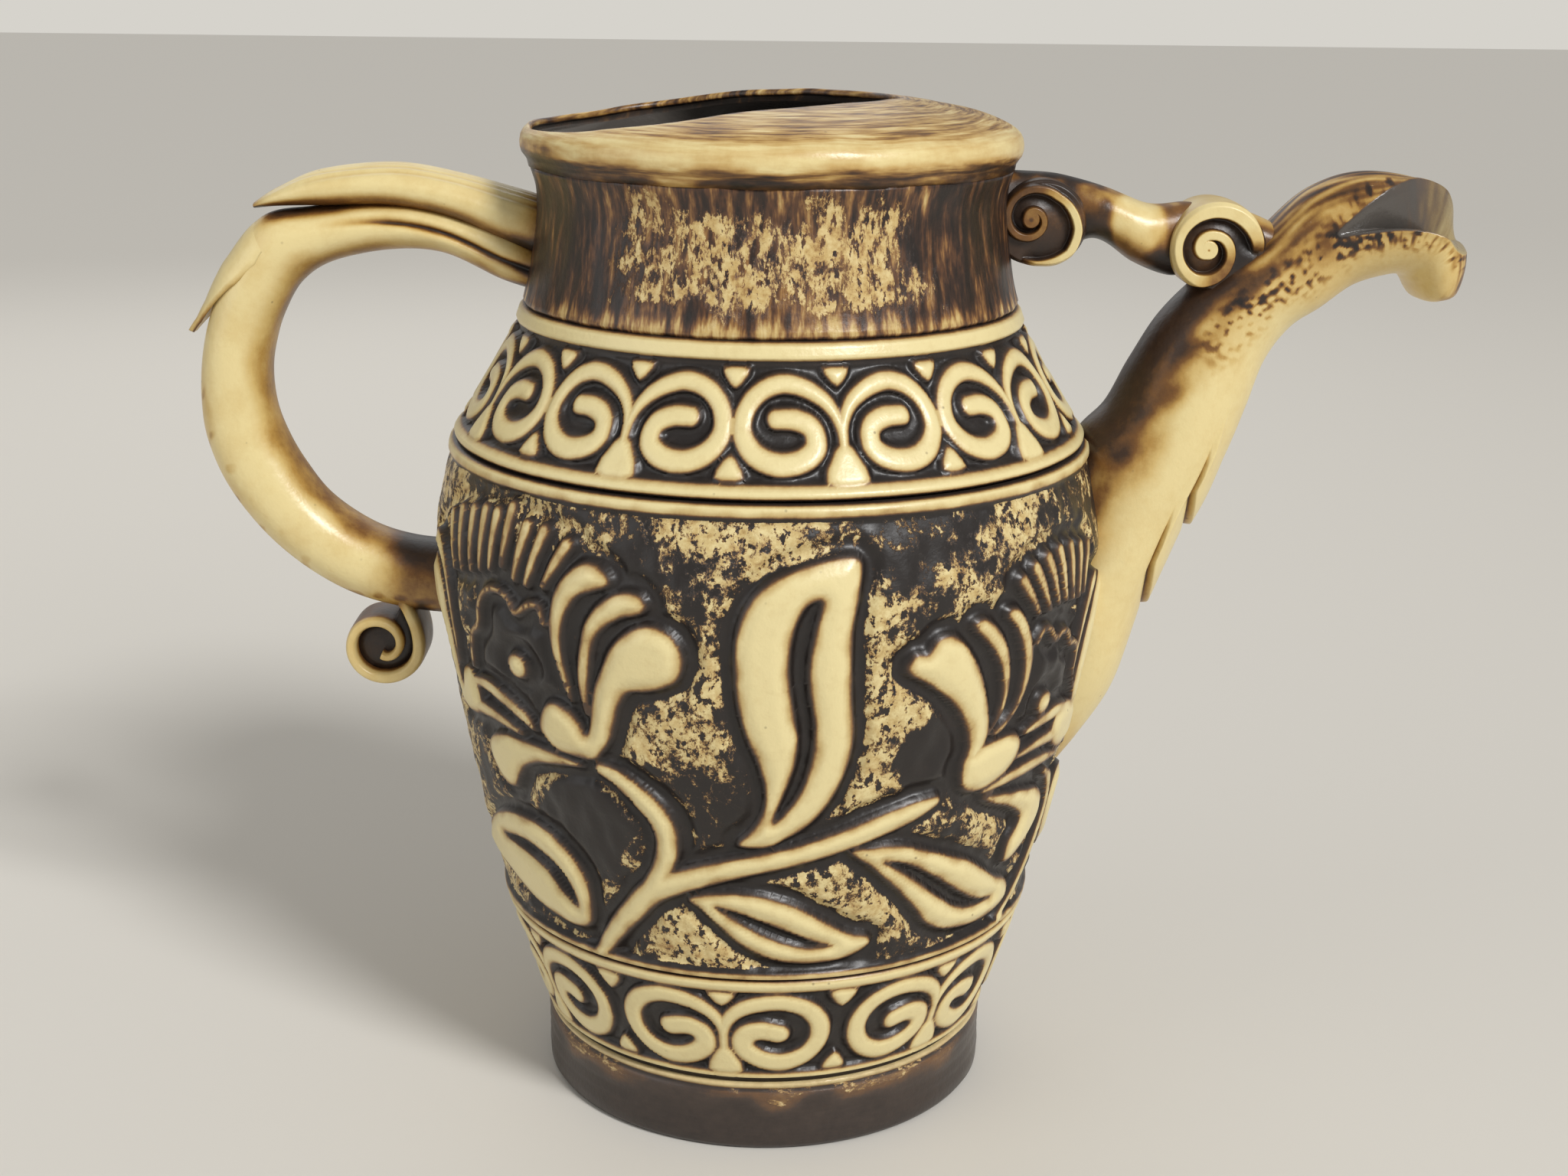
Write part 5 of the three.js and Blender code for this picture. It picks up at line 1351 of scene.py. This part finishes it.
tailScroll = {
    "centre": (-85.3, 98.7),
    # degrees and radius of the middle of the strip, from the coil to the eye
    "spiral": [
        (70, 12.2), (50, 9.8), (20, 8.2), (-19, 7.6), (-60, 7), (-100, 6.8), (-140, 7), (-180, 7.2), (-220, 7.1),
        (-255, 6.4), (-295, 5.2), (-335, 4), (-375, 3), (-420, 2.2), (-470, 1.5),
    ],
    "thickness": (3.3, 2.0), "halfWidth": 7.4, "squareness": (0.6, 0.36), "rows": 260, "columns": 48,
    # the web fills the outer turn, which is this many of the spiral's points and ends at this many degrees
    "webKnots": 11, "webTurn": 290, "webHalfWidth": 4.2, "webColumns": 96,
    # its rows as shares of the outer turn's radius and of the web's half width
    "webRows": [
        (0.04, 1.0), (0.6, 1.0), (0.86, 0.92), (1.0, 0.5), (1.0, -0.5), (0.86, -0.92), (0.6, -1.0), (0.04, -1.0),
    ],
}


def tailPoints(reach, angle, width):
    x, z = tailScroll["centre"]
    return np.stack(np.broadcast_arrays(x + reach * np.cos(angle), width, z + reach * np.sin(angle)), -1)


def tailGrid():
    share = np.linspace(0, 1, tailScroll["rows"])[:, None]
    path = splineThrough(tailScroll["spiral"], share[:, 0])
    angle, radius = np.radians(path[:, :1]), path[:, 1:]
    begin, end = tailScroll["thickness"]
    thick = begin + (end - begin) * share
    around = fullTurn(tailScroll["columns"])[None]
    across, along = (squarer(wave(around), power) for wave, power in zip((np.cos, np.sin), tailScroll["squareness"]))
    reach = radius + across * thick / 2
    grid = tailPoints(reach, angle, along * tailScroll["halfWidth"])
    return grid, share + 0 * reach, np.abs(np.cos(around)) + 0 * reach


grid, share, acrossFace = tailGrid()
wipedAndShade = 0.88 - 0.5 * step(0.75, 1.0, acrossFace) - 0.12 * share - 0.4 * step(0.08, 0.0, share)
marks = {"wipedAndShade": wipedAndShade + 0.08 * softNoise(grid, 3, 81)}
makePiece("tailScroll", grid, marks, "rubbedHandleGlaze", "handle_glaze", "handle_tail_scroll")

# dark clay left standing between the turns
around = fullTurn(tailScroll["webColumns"])
turn = np.array(tailScroll["spiral"][:tailScroll["webKnots"]])[::-1]
turnEnd = tailScroll["webTurn"]
outerTurn = np.interp((np.degrees(around) + turnEnd) % 360 - turnEnd, turn[:, 0], turn[:, 1])
edge, width = np.array(tailScroll["webRows"]).T[..., None]
grid = tailPoints(outerTurn * edge, around, width * tailScroll["webHalfWidth"])
makePiece("tailScrollWeb", grid, {"wipedAndShade": 0.06}, "rubbedHandleGlaze", "handle_glaze", "handle_tail_scroll")
print("handle made")


# floor, light and camera

stage = {
    "floorColour": "#dedad2", "floorHalfWidth": 6.0, "floorRoughness": 0.9, "skyColour": "#d6d3cc",
    "ambientColour": "#f4f2ee", "ambient": 0.36, "lampTarget": (0, 0, 0.11),
}
floorMesh = bpy.data.meshes.new("floor")
half = stage["floorHalfWidth"]
floorMesh.from_pydata([(-half, -half, 0), (half, -half, 0), (half, half, 0), (-half, half, 0)], [], [(0, 1, 2, 3)])
floor = bpy.data.objects.new("floor", floorMesh)
bpy.context.scene.collection.objects.link(floor)
floor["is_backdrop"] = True
# matt paper: a pale ground that takes a soft shadow and no highlight
floorMaterial = bpy.data.materials.new("mattPaperFloor")
floorMaterial.use_nodes = True
floorShader = floorMaterial.node_tree.nodes["Principled BSDF"]
floorShader.inputs["Base Color"].default_value = linearColour(stage["floorColour"])
floorShader.inputs["Roughness"].default_value = stage["floorRoughness"]
floorMesh.materials.append(floorMaterial)

world = bpy.data.worlds.new("studio")
bpy.context.scene.world = world
world.use_nodes = True
worldTree = world.node_tree
worldTree.nodes.clear()
rays = addNode(worldTree, "ShaderNodeLightPath")
ambient = addNode(worldTree, "ShaderNodeBackground", {
    "Color": linearColour(stage["ambientColour"]), "Strength": stage["ambient"],
})
backdrop = addNode(worldTree, "ShaderNodeBackground", {"Color": linearColour(stage["skyColour"]), "Strength": 1.0})
sky = addNode(worldTree, "ShaderNodeMixShader", {
    0: rays.outputs["Is Camera Ray"], 1: ambient.outputs[0], 2: backdrop.outputs[0],
})
addNode(worldTree, "ShaderNodeOutputWorld", {"Surface": sky.outputs[0]})

lamps = {
    "keySun": {"kind": "SUN", "place": (0.5, -0.62, 0.75), "size": math.radians(14), "strength": 1.75},
    "keySoftbox": {"kind": "AREA", "place": (0.55, -0.75, 0.75), "size": 0.3, "strength": 2.6},
    "fillSoftbox": {"kind": "AREA", "place": (-0.95, -0.5, 0.5), "size": 0.8, "strength": 2.0},
    "backSoftbox": {"kind": "AREA", "place": (-0.25, 0.9, 0.75), "size": 0.9, "strength": 1.7},
}
for name, lamp in lamps.items():
    light = bpy.data.lights.new(name, lamp["kind"])
    if lamp["kind"] == "SUN":
        light.angle = lamp["size"]
    else:
        light.size = lamp["size"]
    light.energy = lamp["strength"]
    obj = bpy.data.objects.new(name, light)
    obj.location = lamp["place"]
    obj.rotation_euler = (Vector(stage["lampTarget"]) - obj.location).to_track_quat("-Z", "Y").to_euler()
    bpy.context.scene.collection.objects.link(obj)

# worked out from the photograph by fitting the round edges of the foot, the bands and the rim
view = {
    "place": (0, -0.468, 0.2485), "pitchDown": 16.28, "yaw": 0.44, "roll": 0.65,
    "focalPx": 2848, "widthPx": 2048, "sensorMm": 36,
}
pitch, yaw, roll = (math.radians(view[key]) for key in ("pitchDown", "yaw", "roll"))
forward = Vector((math.sin(yaw) * math.cos(pitch), math.cos(yaw) * math.cos(pitch), -math.sin(pitch)))
right = Vector((math.cos(yaw), -math.sin(yaw), 0))
upward = right.cross(forward)
rolledRight = right * math.cos(roll) + upward * math.sin(roll)
rolledUp = upward * math.cos(roll) - right * math.sin(roll)
camera = bpy.data.cameras.new("photoView")
camera.sensor_width = view["sensorMm"]
camera.lens = view["focalPx"] / view["widthPx"] * view["sensorMm"]
camera.clip_start = 0.01
cameraObject = bpy.data.objects.new("photoView", camera)
cameraObject.matrix_world = Matrix([*zip(rolledRight, rolledUp, -forward, view["place"]), (0, 0, 0, 1)])
bpy.context.scene.collection.objects.link(cameraObject)
bpy.context.scene.camera = cameraObject
bpy.context.scene.view_settings.view_transform = "Standard"

print("scene ready")
